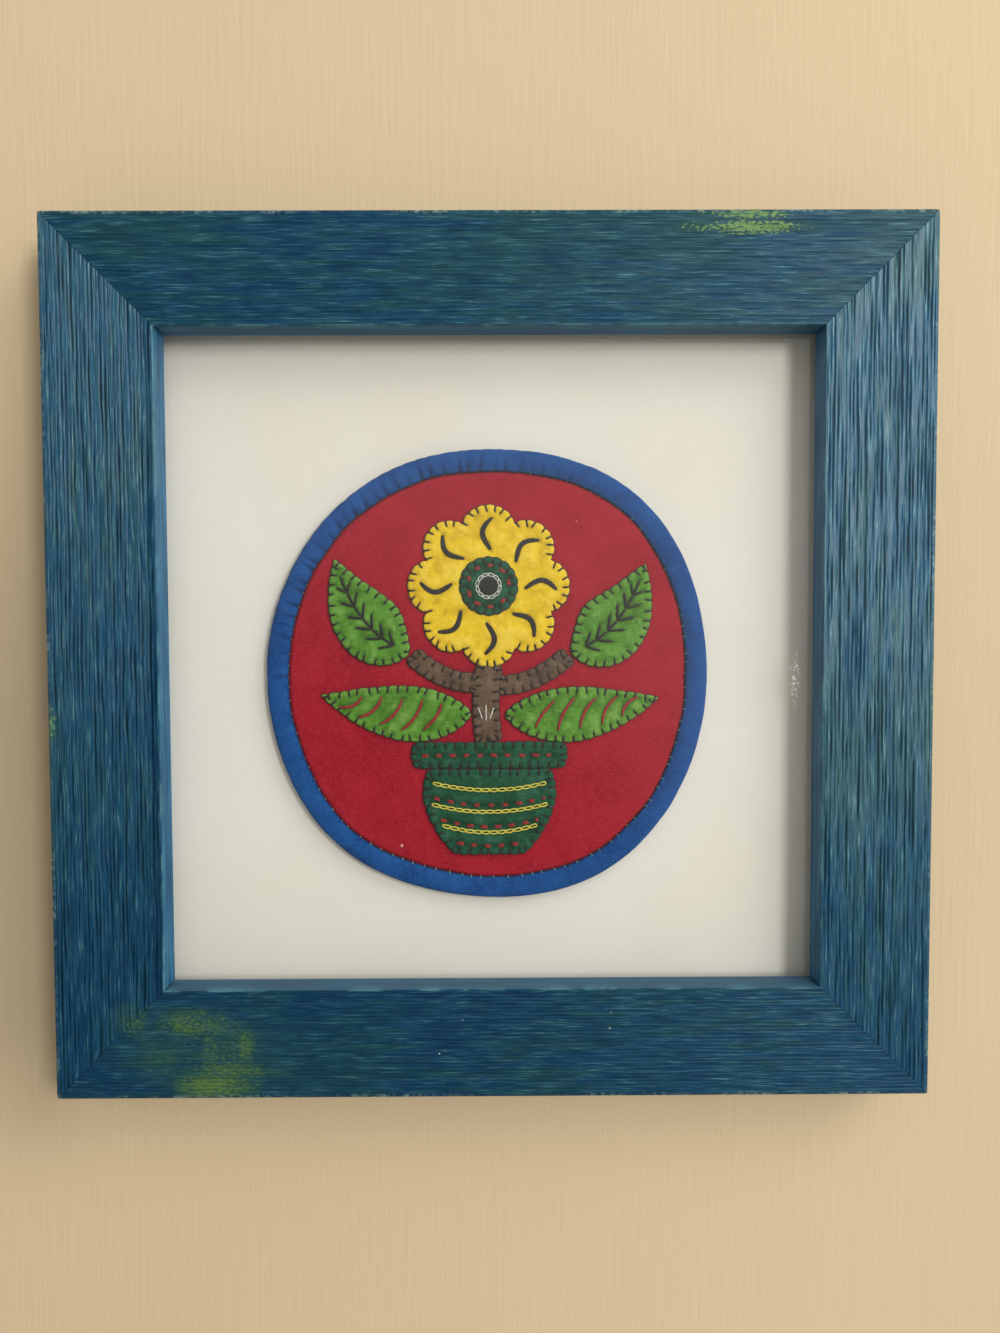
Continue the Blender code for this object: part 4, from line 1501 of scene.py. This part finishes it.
@dataclass
class Needlework:
    """Threads of one colour, gathered into one mesh."""

    name: str
    slot: str
    finish: Material
    plane: PatchPlane
    shape: Shape = field(default_factory=Shape)

    def lay(self, flat: Array, height: Array, radius: float | Array, sides: int = 6,
            thin: float = 0.85) -> None:
        """Lays threads along flat paths at their heights.

        Args:
            flat: (threads, points, 2) places.
            height: (threads, points) heights above the patch's back.
            radius: thread radius.
            sides: corners of the section.
            thin: height of the section over its width.
        """
        self.shape.tubes(self.plane.set_out(flat, height), radius, sides, thin)

    def plied(self, flat: Array, height: Array, radius: float, pitch: float, plies: int = 2) -> None:
        """Lays twisted threads: each ply circles the path once a pitch.

        Args:
            flat: (threads, points, 2) places.
            height: (threads, points) heights.
            radius: radius of the whole thread.
            pitch: length of one twist.
            plies: strands in the twist.
        """
        line = self.plane.set_out(flat, height)
        side, lift, length = thread_frame(line)
        for ply in range(plies):
            turn = (length / pitch + ply / plies) * TURN
            offset = np.cos(turn)[..., None] * side + np.sin(turn)[..., None] * lift
            self.shape.tubes(line + offset * radius * 0.46, radius * 0.60, 5)

    def straight(self, cloth: Applique, ends: Array, radius: float, lift: float, steps: int = 6) -> None:
        """Lays straight stitches that dive into the cloth at both ends.

        Args:
            cloth: what they lie on.
            ends: (stitches, 2, 2) first and last places.
            radius: thread radius.
            lift: height of the middle above the cloth.
            steps: points along each.
        """
        share = np.linspace(0, 1, steps)[None, :, None]
        flat = ends[:, :1] * (1 - share) + ends[:, 1:] * share
        arch = np.sin(math.pi * share[..., 0]) ** 0.5
        height = cloth.height(flat) - 0.12 * MM + (lift + 0.12 * MM) * arch
        self.lay(flat, height, radius)

    def rope(self, cloth: Applique, path: Array, width: float, radius: float, advance: float = 1.15 * MM,
             reach: float = 2.7 * MM) -> None:
        """Works stem stitch: short slanted stitches that overlap along a path like the lay of a rope.

        Args:
            cloth: what it lies on.
            path: (n, 2) places.
            width: how far each stitch slants across the path.
            radius: thread radius.
            advance: distance from one stitch to the next.
            reach: length of each stitch.
        """
        length = path_length(path)
        fine = resample(path, max(24, int(length / (0.2 * MM))))
        count = max(2, int((length - reach) / advance) + 2)
        first = np.linspace(0, max(length - reach, 0.1 * MM), count)
        share = np.linspace(0, 1, 7)
        along = np.clip(first[:, None] + share[None] * reach, 0, length)
        slim = np.sin(math.pi * np.clip(along / length, 0.06, 0.94)) ** 0.4
        across = (share[None] - 0.5) * width * slim
        flat = along_path(fine, length, along, across)
        arch = np.sin(math.pi * share)[None] ** 0.6
        height = cloth.height(flat) + radius * (0.1 + 0.95 * arch)
        self.lay(flat, height, radius, 6, 0.8)

    def chain(self, cloth: Applique, path: Array, pitch: float, width: float, radius: float,
              closed: bool = False) -> None:
        """Works chain stitch: a row of loops, each a drop shape that starts inside the one before.

        A loop runs along the path as 0.5 - 0.5 cos(turn) and across it as sin(turn), narrower at its start.

        Args:
            cloth: what it lies on.
            path: (n, 2) places.
            pitch: length of one loop.
            width: width of a loop.
            radius: thread radius.
            closed: the path is a ring.
        """
        length = path_length(path)
        count = max(2, round(length / pitch))
        fine = resample(path, count * 12)
        turn = np.linspace(0, TURN, 17)
        step = length / count
        share = 0.5 - 0.5 * np.cos(turn)
        along = np.arange(count)[:, None] * step + (share[None] * 1.22 - 0.12) * step
        if closed:
            along = along % length
        across = np.sin(turn)[None] * width / 2 * (0.62 + 0.5 * share[None])
        across = np.broadcast_to(across, along.shape)
        flat = along_path(fine, length, along, across)
        height = cloth.height(flat) + radius * (0.45 + 0.9 * (1 - share[None]))
        self.lay(flat, height, radius, 6, 0.9)

    def running(self, cloth: Applique, path: Array, stitch: float, gap: float, closed: bool = False) -> None:
        """Works running stitch in doubled thread: pairs of short strands with cloth between the pairs.

        Args:
            cloth: what it lies on.
            path: (n, 2) places.
            stitch: length of one stitch.
            gap: cloth between two stitches.
            closed: the path is a ring.
        """
        length = path_length(path)
        count = max(1, round((length + (0 if closed else gap)) / (stitch + gap)))
        fine = resample(path, 200)
        rng = np.random.default_rng(int(length * 1e6) % 9973)
        first = np.arange(count) * (stitch + gap) + (rng.random(count) - 0.5) * 0.3 * MM
        ends = np.stack([first, first + stitch * (0.85 + 0.3 * rng.random(count))], 1).clip(0, length)
        tilt = (rng.random(count) - 0.5)[:, None] * np.array([-0.35, 0.35])[None] * MM
        for strand in (-0.26 * MM, 0.26 * MM):
            self.straight(cloth, along_path(fine, length, ends, strand + tilt), 0.27 * MM, 0.22 * MM)

    def build(self) -> Piece:
        """Makes the mesh and attaches it."""
        piece = self.shape.build(self.name, self.finish, 80)
        return attach(piece, self.slot)


def blanket_stitch(work: Needlework, cloth: Applique) -> None:
    """Sews a piece's edge: a twisted thread lies along the edge, and a bar runs inwards from it every few mm.

    Args:
        work: the thread.
        cloth: the piece.
    """
    loop = np.concatenate([cloth.edge, cloth.edge[:2]])
    outside = -cloth.inward(cloth.edge)
    away = np.concatenate([outside, outside[:2]])
    count = int(path_length(loop) / (0.42 * MM))
    path = resample(loop + away * 0.06 * MM, count)
    height = np.full((1, count), cloth.base + 0.30 * MM)
    work.plied(path[None], height, 0.19 * MM, 1.5 * MM)
    bars = cloth.bars
    lift = cloth.height(bars) + np.array([-0.25, 0.10, 0.24, 0.28, 0.18, -0.10]) * MM
    lift[:, 0] = cloth.base + 0.34 * MM
    work.lay(bars, lift, 0.29 * MM, 6, 0.85)


@dataclass
class FlowerPatch:
    """The whole stitched patch: ground, binding, applique pieces and all the needlework."""

    plane: PatchPlane
    rim: Rim = field(default_factory=Rim)

    def cloths(self) -> dict[str, Material]:
        """Mixes the six dyed cottons.

        Returns:
            The materials by name.
        """
        finishes = (
            ClothFinish("red_cotton", (0.345, 0.008, 0.022), (0.46, 0.034, 0.052), (0.285, 0.004, 0.017),
                        0.05, lint=0.7, worn_edge=0.85, seam=(0.030, 0.003, 0.008)),
            ClothFinish("blue_cotton", (0.008, 0.070, 0.265), (0.022, 0.132, 0.380), (0.004, 0.048, 0.198),
                        0.4, worn_edge=0.8, seam=(0.003, 0.014, 0.040)),
            ClothFinish("yellow_cotton", (0.76, 0.53, 0.010), (0.86, 0.68, 0.10), (0.66, 0.42, 0.006), 0.1,
                        worn_edge=0.5),
            ClothFinish("light_green_cotton", (0.090, 0.265, 0.026), (0.25, 0.43, 0.11),
                        (0.058, 0.185, 0.016), 0.7, worn_edge=0.5),
            ClothFinish("dark_green_cotton", (0.012, 0.082, 0.042), (0.045, 0.15, 0.095),
                        (0.006, 0.055, 0.026), 0.02, worn_edge=0.3),
            ClothFinish("brown_cotton", (0.125, 0.080, 0.053), (0.205, 0.145, 0.105),
                        (0.090, 0.055, 0.036), 0.3, worn_edge=0.3),
        )
        return {finish.name: finish.make() for finish in finishes}

    def pieces(self, cloth: dict[str, Material]) -> dict[str, Applique]:
        """Cuts every applique piece.

        Args:
            cloth: the cottons by name.

        Returns:
            The pieces by node name.
        """
        brown, light, dark = "brown", "light_green", "dark_green"
        strips = {
            "stem": (StripCut((0, -20.4), (-2.0, -9.0), (0.3, 3.2), 8.0, False), brown),
            "branch_left": (StripCut((-3.2, -2.4), (-14.5, -2.6), (-23.4, 6.2), 5.8, False), brown),
            "branch_right": (StripCut((3.0, -3.2), (15.0, -3.2), (24.2, 6.2), 5.8, False), brown),
            "leaf_low_left": (StripCut((-5.5, -11.6), (-27.0, -14.0), (-51.0, -6.0), 16.8, True), light),
            "leaf_low_right": (StripCut((4.9, -12.0), (28.0, -14.2), (51.5, -7.0), 16.6, True), light),
            "leaf_high_left": (StripCut((-24.2, 7.0), (-40.0, 12.5), (-46.5, 35.0), 20.0, True), light),
            "leaf_high_right": (StripCut((25.0, 7.0), (41.0, 11.5), (47.5, 33.5), 20.6, True), light),
        }
        pot_rows = ((-55.0, 9.0), (-54.4, 11.4), (-49.5, 15.4), (-43.5, 18.6), (-37.5, 20.3), (-32.5, 19.9),
                    (-28.9, 18.6))
        rim_rows = ((-28.5, 21.6), (-27.7, 23.1), (-24.5, 23.9), (-21.4, 23.3), (-20.6, 22.0))
        shaped = {
            "pot": (RowsCut(pot_rows, 4.0), dark),
            "pot_rim": (RowsCut(rim_rows, 19.0), dark),
            "bloom": (BloomCut(), "yellow"),
        }
        made = {}
        for number, (node, (cut, colour)) in enumerate({**strips, **shaped}.items()):
            cotton = cloth[f"{colour}_cotton"]
            made[node] = Applique(node, f"{colour}_cloth", cut, self.plane, cotton, 200 + 10 * number)
        heart = BloomCut((0.0, 27.0), 8, 8.8, 8.75)
        made["bloom_heart"] = Applique("bloom_heart", "dark_green_cloth", heart, self.plane,
                                       cloth["dark_green_cotton"], 333, base=3.55 * MM, thickness=0.9 * MM)
        for low in ("pot", "stem", "branch_left", "branch_right"):
            made[low].thickness = 0.95 * MM
        return made

    def build(self) -> None:
        """Cuts the cloth, marks out the embroidery, builds the cloth and then sews it."""
        cloth = self.cloths()
        pieces = self.pieces(cloth)
        plan = Embroidery(pieces)
        plan.mark_out()
        ground = Ground(self.plane, self.rim, cloth["red_cotton"], list(pieces.values()))
        ground_piece = ground.build()
        binding = Binding(self.plane, self.rim, cloth["blue_cotton"])
        binding_piece = binding.build()
        built = {node: piece.build() for node, piece in pieces.items()}
        threads = plan.sew(self.plane, binding)
        self.declare(built, pieces)

    def declare(self, built: dict[str, Piece],
                pieces: dict[str, Applique]) -> None:
        """Works out each cut piece's size and a cloth area for it; nothing further is done with them.

        Args:
            built: the applique cloths by node.
            pieces: their shapes by node.
        """
        for node, piece in built.items():
            edge = pieces[node].edge
            size = np.maximum(np.ptp(edge, axis=0), 10.5 * MM)
            area = max(pieces[node].area() * 1.08, 0.301 * float(size[0] * size[1]))


@dataclass
class Embroidery:
    """The needlework on the applique pieces: where each line runs and how it is sewn."""

    pieces: dict[str, Applique]
    veins: dict[str, Array] = field(default_factory=dict)
    plumes: dict[str, list[Array]] = field(default_factory=dict)
    strokes: list[Array] = field(default_factory=list)
    bands: list[Array] = field(default_factory=list)
    dashes: dict[str, list[Array]] = field(default_factory=dict)

    def leaf_veins(self, cut: StripCut, seed: int) -> Array:
        """Fly-stitch veins: strokes along the centre line, and at each a pair slanting forward to both sides.

        Args:
            cut: the leaf.
            seed: unevenness of the hand.

        Returns:
            (strokes, 2, 2) first and last places.
        """
        rng = np.random.default_rng(seed)
        count = 6
        share = np.linspace(0.15, 0.76, count) + (rng.random(count) - 0.5) * 0.02
        joint = cut.centre(share)
        ahead = cut.centre(np.clip(share + 0.122, 0, 1))
        side = sideways(cut.centre(np.linspace(0, 1, 60)))
        side = side[(share * 59).astype(int)]
        run = np.stack([side[:, 1], -side[:, 0]], 1)
        reach = cut.half(share + 0.06)[:, None] * (0.50 + 0.10 * rng.random((count, 1)))
        reach = np.clip(reach, 2.4 * MM, 4.4 * MM)
        slants = []
        for way in (1, -1):
            lean = 0.74 + 0.2 * rng.random((count, 1))
            tip = joint + side * way * reach * 0.74 + run * reach * lean
            slants.append(np.stack([joint, tip], 1))
        spine = np.stack([joint, ahead], 1)
        return np.concatenate([spine, *slants])

    def leaf_plumes(self, cut: StripCut) -> list[Array]:
        """Red lines on a long leaf: curved strokes that leave the middle and lean towards the tip.

        Args:
            cut: the leaf.

        Returns:
            (20, 2) points of each line.
        """
        lines = []
        for number, share in enumerate((0.20, 0.34, 0.48, 0.62, 0.75)):
            at = np.array([share, share + 0.05, share + 0.13])
            line = cut.centre(at)
            side = sideways(cut.centre(np.linspace(0, 1, 60)))[(at * 59).astype(int)]
            half = cut.half(at)[:, None]
            offset = np.array([[-0.58], [0.12], [0.60]]) * (1 if number % 2 else 0.92)
            three = line + side * half * offset
            bend = 2 * three[1] - 0.5 * (three[0] + three[2])
            lines.append(bend_line(three[0], bend, three[2], np.linspace(0, 1, 20)))
        return lines

    def petal_strokes(self, cut: BloomCut) -> list[Array]:
        """One thick curved stroke on each petal, from near the heart to near the petal's tip.

        Args:
            cut: the flower.

        Returns:
            (16, 2) points of each stroke.
        """
        lines = []
        centre = np.array(cut.centre) * MM
        for petal in range(cut.petals):
            angle = TURN * petal / cut.petals
            radius = np.linspace(11.0, 20.6, 16) * MM
            swing = angle + 0.17 * np.sin(np.linspace(0, math.pi, 16)) - 0.06
            lines.append(centre + radius[:, None] * spokes(swing))
        return lines

    def mark_out(self) -> None:
        """Works out every line, and tells each piece where its cloth is sewn down."""
        for node in ("leaf_high_left", "leaf_high_right"):
            self.veins[node] = self.leaf_veins(self.pieces[node].cut, 60 + len(node))
            share = np.linspace(0, 1, 6)[None, :, None]
            lines = self.veins[node][:, :1] * (1 - share) + self.veins[node][:, 1:] * share
            self.pieces[node].embroidery = [lines]
        for node in ("leaf_low_left", "leaf_low_right"):
            self.plumes[node] = self.leaf_plumes(self.pieces[node].cut)
            self.pieces[node].embroidery = list(self.plumes[node])
        self.strokes = self.petal_strokes(self.pieces["bloom"].cut)
        self.pieces["bloom"].embroidery = list(self.strokes)
        right = np.linspace(-1, 1, 40)
        for up, half, sag in ((-33.0, 17.2, 2.2), (-39.5, 17.6, 2.4), (-46.0, 14.4, 2.2)):
            self.bands.append(np.stack([right * half, up - sag * (1 - right ** 2)], 1) * MM)
        gaps = ((-37.6, 17.0, 2.3), (-44.2, 15.0, 2.3), (-51.4, 10.0, 1.0))
        self.dashes["pot"] = [
            np.stack([right * half, up - sag * (1 - right ** 2)], 1) * MM for up, half, sag in gaps
        ]
        self.dashes["pot_rim"] = [np.stack([right * 20.5, np.full(40, -24.5)], 1) * MM]
        angle = np.linspace(0, TURN, 60)
        heart = np.array(self.pieces["bloom_heart"].cut.centre)
        self.dashes["bloom_heart"] = [(heart + 6.3 * spokes(angle)) * MM]
        self.pieces["pot"].embroidery = self.bands + self.dashes["pot"]
        self.pieces["pot_rim"].embroidery = self.dashes["pot_rim"]
        self.pieces["bloom_heart"].embroidery = self.dashes["bloom_heart"]

    def sew(self, plane: PatchPlane, binding: Binding) -> list[Piece]:
        """Sews everything, one object for each thread colour and kind.

        Args:
            plane: the patch's place.
            binding: the blue strip.

        Returns:
            The needlework's objects.
        """
        black = ThreadFinish("black_floss", (0.020, 0.017, 0.016), (0.006, 0.005, 0.006)).make()
        white = ThreadFinish("white_floss", (0.72, 0.70, 0.66), (0.40, 0.39, 0.37)).make()
        yellow = ThreadFinish("yellow_floss", (0.72, 0.66, 0.10), (0.42, 0.36, 0.03)).make()
        red = ThreadFinish("red_floss", (0.36, 0.022, 0.020), (0.17, 0.006, 0.008)).make()
        teal = ThreadFinish("teal_floss", (0.17, 0.34, 0.29), (0.07, 0.16, 0.16)).make()
        edging = Needlework("blanket_stitch", "black_thread", black, plane)
        for piece in self.pieces.values():
            blanket_stitch(edging, piece)
        return [
            edging.build(),
            self.black_lines(Needlework("black_embroidery", "black_thread", black, plane)),
            self.red_lines(Needlework("red_embroidery", "red_thread", red, plane)),
            self.yellow_lines(Needlework("yellow_chain_stitch", "yellow_thread", yellow, plane)),
            self.white_lines(Needlework("white_embroidery", "white_thread", white, plane)),
            self.slip_stitches(Needlework("binding_slip_stitch", "pale_thread", teal, plane), binding),
        ]

    def black_lines(self, work: Needlework) -> Piece:
        """Sews leaf veins, petal strokes and the satin spot in the flower's heart.

        Args:
            work: the thread.

        Returns:
            The needlework's object.
        """
        for node, lines in self.veins.items():
            work.straight(self.pieces[node], lines, 0.38 * MM, 0.42 * MM, 8)
        bloom = self.pieces["bloom"]
        for line in self.strokes:
            side = sideways(line)
            slim = np.sin(math.pi * np.linspace(0.04, 0.96, len(line)))[:, None] ** 0.5
            for shift in (-0.36, 0.36):
                work.rope(bloom, line + side * slim * shift * MM, 0.42 * MM, 0.33 * MM)
            work.rope(bloom, line[1:-1], 0.2 * MM, 0.34 * MM)
        heart = self.pieces["bloom_heart"]
        spot = 2.75
        offset = np.arange(-spot + 0.22, spot, 0.42)
        half = np.sqrt(np.clip(spot ** 2 - offset ** 2, 0, None))
        centre = np.array(heart.cut.centre)
        first = centre + np.stack([offset, -half], 1)
        last = centre + np.stack([offset + 0.1, half], 1)
        work.straight(heart, np.stack([first, last], 1) * MM, 0.25 * MM, 0.26 * MM, 10)
        return work.build()

    def red_lines(self, work: Needlework) -> Piece:
        """Sews stem-stitch lines on the long leaves and running stitch on the dark green.

        Args:
            work: the thread.

        Returns:
            The needlework's object.
        """
        for node, lines in self.plumes.items():
            for line in lines:
                work.rope(self.pieces[node], line, 0.62 * MM, 0.33 * MM, 1.5 * MM, 3.1 * MM)
        for node, lines in self.dashes.items():
            for line in lines:
                closed = node == "bloom_heart"
                work.running(self.pieces[node], line, 1.9 * MM, 2.3 * MM, closed)
        return work.build()

    def yellow_lines(self, work: Needlework) -> Piece:
        """Sews three bands of chain stitch round the pot.

        Args:
            work: the thread.

        Returns:
            The needlework's object.
        """
        for line in self.bands:
            work.chain(self.pieces["pot"], line, 2.45 * MM, 1.02 * MM, 0.21 * MM)
        return work.build()

    def white_lines(self, work: Needlework) -> Piece:
        """Sews the white ring of chain stitch about the dark spot and a three-stroke sprig on the stem.

        Args:
            work: the thread.

        Returns:
            The needlework's object.
        """
        heart = self.pieces["bloom_heart"]
        angle = np.linspace(0, TURN, 90)
        ring = (np.array(heart.cut.centre) + 3.45 * spokes(angle)) * MM
        work.chain(heart, ring, 1.75 * MM, 0.95 * MM, 0.16 * MM, True)
        stem = self.pieces["stem"]
        sprig = np.array([
            [[-2.0, -13.4], [-3.3, -9.8]], [[-0.9, -13.9], [-0.9, -9.0]], [[0.2, -13.4], [1.5, -9.8]],
        ]) * MM
        work.straight(stem, sprig, 0.2 * MM, 0.2 * MM, 8)
        return work.build()

    def slip_stitches(self, work: Needlework, binding: Binding) -> Piece:
        """Sews the binding down: a tiny slanted stitch across the seam at each crease.

        Args:
            work: the thread.
            binding: the blue strip.

        Returns:
            The stitches' object.
        """
        angle = binding.slip_angle
        seam = binding.rim.seam(angle) + binding.slip_depth * 0.34 * MM
        reach = np.array([-0.40, -0.1, 0.2, 0.45, 0.65]) * MM
        radius = seam[:, None] + reach[None]
        lean = angle[:, None] + reach[None] * 0.35 / binding.rim.radius
        flat = radius[..., None] * spokes(lean)
        height = np.array([2.05, 2.50, 2.80, 2.92, 2.70]) * MM - binding.slip_depth[:, None] * 0.75 * MM
        work.lay(flat, np.broadcast_to(height, flat.shape[:2]), 0.19 * MM, 5)
        return work.build()


# Surroundings


@dataclass
class Studio:
    """Camera, soft light, a pale backdrop seen from the front only and open behind the panel, and a floor."""

    centre_up: float
    front: float
    lens: float = 27.0
    camera_right: float = 1.1 * MM
    camera_up: float = 11.0 * MM
    camera_away: float = 294.4 * MM
    pitch_deg: float = -2.43
    roll_deg: float = 0.22
    yaw_deg: float = -0.29

    def camera(self) -> None:
        """Stands the camera where the frame's corners fall as they do in the photograph."""
        data = bpy.data.cameras.new("camera")
        data.lens = self.lens
        data.sensor_width = 36.0
        data.sensor_fit = "AUTO"
        data.clip_start = 0.01
        camera = bpy.data.objects.new("camera", data)
        camera.location = (self.camera_right, self.front - self.camera_away, self.centre_up + self.camera_up)
        turn = (90 + self.pitch_deg, self.roll_deg, self.yaw_deg)
        camera.rotation_euler = Euler([math.radians(angle) for angle in turn], "XYZ")
        bpy.context.scene.collection.objects.link(camera)
        bpy.context.scene.camera = camera

    def area_light(self, name: str, place: Sequence[float], size: tuple[float, float], watts: float,
                   colour: Sequence[float]) -> None:
        """Adds a soft light that faces the frame's centre.

        Args:
            name: its name.
            place: where it stands, from the frame's centre.
            size: its width and height.
            watts: its power.
            colour: its colour.
        """
        data = bpy.data.lights.new(name, "AREA")
        data.shape = "RECTANGLE"
        data.size, data.size_y = size
        data.energy = watts
        data.color = colour
        lamp = bpy.data.objects.new(name, data)
        lamp.location = Vector(place) + Vector((0, 0, self.centre_up))
        aim = Vector((0, 0, self.centre_up)) - lamp.location
        lamp.rotation_euler = aim.to_track_quat("-Z", "Y").to_euler()
        bpy.context.scene.collection.objects.link(lamp)

    def sheet_of_paint(self, name: str, corners: Sequence[Sequence[float]], colour: Sequence[float],
                       one_sided: bool) -> None:
        """A flat stage piece with a painted shadow beside the panel's left; a one-sided one can't be seen from
        behind.

        Args:
            name: its name.
            corners: its four corners, in order as seen from the front, and then its hole's, if any.
            colour: its colour.
            one_sided: clear from behind.
        """
        mesh = bpy.data.meshes.new(name)
        whole, ring = [(0, 1, 2, 3)], [(0, 1, 5, 4), (1, 2, 6, 5), (2, 3, 7, 6), (3, 0, 4, 7)]
        mesh.from_pydata([tuple(corner) for corner in corners], [], ring if len(corners) > 4 else whole)
        r = Recipe(name)
        cloud = r.noise(r.place(), 3.0, 3.0)
        stroke = r.noise(r.place((620, 620, 34), 0.10), 1.0, 4.0, 0.6)
        shade = (colour[0] * 0.95, colour[1] * 0.945, colour[2] * 0.93, 1.0)
        tone = r.blend(r.ramp(cloud, 0.3, 0.7), colour, shade)
        # Painted shadow: a soft dark band on the backdrop just left of the panel, standing for the frame's
        # shadow.
        right, _, up = r.add("SeparateXYZ", {0: r.add("TexCoord").outputs["Object"]}).outputs
        beside = r.times(r.ramp(right, -0.150, -0.118, 0.34, 0.0), r.ramp(right, -0.24, -0.16))
        level = r.times(r.ramp(up, -0.30, -0.23), r.ramp(up, -0.16, 0.03, 1.0, 0.0))
        painted_shadow = r.times(beside, level)
        tone = r.blend(painted_shadow, tone, (0.06, 0.05, 0.04, 1.0))
        r.finish(Base_Color=tone, Roughness=0.9, Normal=r.bump(stroke, 0.34 * MM, 0.5))
        if one_sided:
            clear = r.add("BsdfTransparent")
            behind = r.add("NewGeometry").outputs["Backfacing"]
            both = r.add("MixShader", {0: behind, 1: r.shader.outputs[0], 2: clear.outputs[0]})
            r.tree.links.new(both.outputs[0], r.output.inputs["Surface"])
        mesh.materials.append(r.material)
        piece = bpy.data.objects.new(name, mesh)
        bpy.context.scene.collection.objects.link(piece)

    def build(self) -> None:
        """Sets up the whole studio."""
        self.camera()
        wide, low, behind, half = 2.4, -2.2, 0.2 * MM, 129.6 * MM
        under, over = self.centre_up - half, self.centre_up + half
        outline = ((-wide, behind, low), (wide, behind, low), (wide, behind, wide), (-wide, behind, wide))
        hole = ((-half, behind, under), (half, behind, under), (half, behind, over), (-half, behind, over))
        self.sheet_of_paint("backdrop", outline + hole, (0.615, 0.49, 0.32), True)
        self.sheet_of_paint(
            "floor",
            ((-3, -3, low), (3, -3, low), (3, 3, low), (-3, 3, low)),
            (0.72, 0.70, 0.66), False,
        )
        self.area_light("window", (0.71, -1.394, 0.333), (0.30, 0.50), 11.8, (1.0, 0.98, 0.94))
        self.area_light("high_window", (1.067, -0.895, 0.975), (0.8, 0.8), 9.4, (1.0, 0.975, 0.92))
        self.room()
        bpy.context.scene.view_settings.view_transform = "Standard"

    def room(self) -> None:
        """Soft light from all round: bright from above right, dim low in front and at the left.

        Strength is a product of terms, each an ease from one value to another over the cosine of the angle
        to a direction: the bright one, the dim one low in front, and the far left.
        """
        world = bpy.data.worlds.new("room")
        world.use_nodes = True
        tree = world.node_tree
        where = tree.nodes.new("ShaderNodeTexCoord")
        backdrop = tree.nodes["Background"]
        backdrop.inputs[0].default_value = (0.94, 0.90, 0.83, 1.0)
        strength = None
        bright = (Vector((0.25, -0.90, 0.36)), (0.58, 0.97, 0.70, 1.06))
        low_front = (Vector((-0.161, -0.913, -0.375)), (0.87, 0.97, 1.0, 0.25))
        left = (Vector((-0.85, -0.50, -0.15)), (0.45, 0.92, 1.0, 0.35))
        for way, spread in (bright, low_front, left):
            facing = tree.nodes.new("ShaderNodeVectorMath")
            facing.operation = "DOT_PRODUCT"
            facing.inputs[1].default_value = way.normalized()
            ease = tree.nodes.new("ShaderNodeMapRange")
            ease.interpolation_type = "SMOOTHSTEP"
            for socket, value in enumerate(spread, 1):
                ease.inputs[socket].default_value = value
            tree.links.new(where.outputs["Generated"], facing.inputs[0])
            tree.links.new(facing.outputs["Value"], ease.inputs[0])
            product = tree.nodes.new("ShaderNodeMath")
            product.operation = "MULTIPLY"
            product.inputs[1].default_value = 1.0
            tree.links.new(ease.outputs[0], product.inputs[0])
            if strength:
                tree.links.new(strength, product.inputs[1])
            strength = product.outputs[0]
        tree.links.new(strength, backdrop.inputs[1])
        bpy.context.scene.world = world


def dress_nodes(nodes: dict[str, Piece], centre_up: float) -> None:
    """Gives the solids that stay their finishes.

    Args:
        nodes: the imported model's objects.
        centre_up: height of the frame's centre.
    """
    finishes = {
        "glass_pane": GlassFinish("pane_glass").make(centre_up),
        "mount_card": CardFinish("mount_card_paper").make(),
        "backing_board": BoardFinish("pressed_board").make(),
    }
    steel = SteelFinish("rolled_steel").make()
    for name, node in nodes.items():
        finish = steel if name.startswith("point_") else finishes.get(name)
        if finish:
            node.data.materials.clear()
            node.data.materials.append(finish)


def main() -> None:
    """Builds the panel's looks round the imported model."""
    logging.basicConfig(level=logging.INFO, format="%(name)s: %(message)s")
    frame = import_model()
    low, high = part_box("rail_top")
    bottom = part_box("rail_bottom")[0]
    centre_up = (high.z + bottom.z) / 2
    patch_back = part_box("binding")[1].y
    dress_nodes(frame["nodes"], centre_up)
    olive = rubbed_spots(
        (-84, -127, 15, 5.0, 1.25),
        (-78, -122, 20, 3.5, 0.85),
        (-89, -107.5, 19, 5.5, 1.0),
        (-84.5, -116, 3.6, 10, 0.95),
        (-73.5, -114, 3.4, 8, 0.85),
        (-106, -106.5, 8, 7, 0.8),
        (-88, -115, 30, 16, 0.5),
    )
    sage = rubbed_spots(
        (74.5, 129.4, 15, 1.9, 1.0),
        (74.8, 125.6, 20, 2.5, 1.15),
        (-130, -18, 2.5, 7, 1.0),
        (-100, 121, 45, 14, 0.17),
    )
    paint = CombedPaint("combed_blue_paint", olive_spots=olive, sage_spots=sage)
    CombedRails(centre_up, paint.make(centre_up)).build()
    plane = PatchPlane(-0.8 * MM, patch_back, centre_up - 4.5 * MM)
    FlowerPatch(plane).build()
    Studio(centre_up, front=-22 * MM).build()
    log.info("the rail's front is at %.4f and the patch's back at %.4f", low.y, patch_back)


if __name__ == "__main__":
    main()
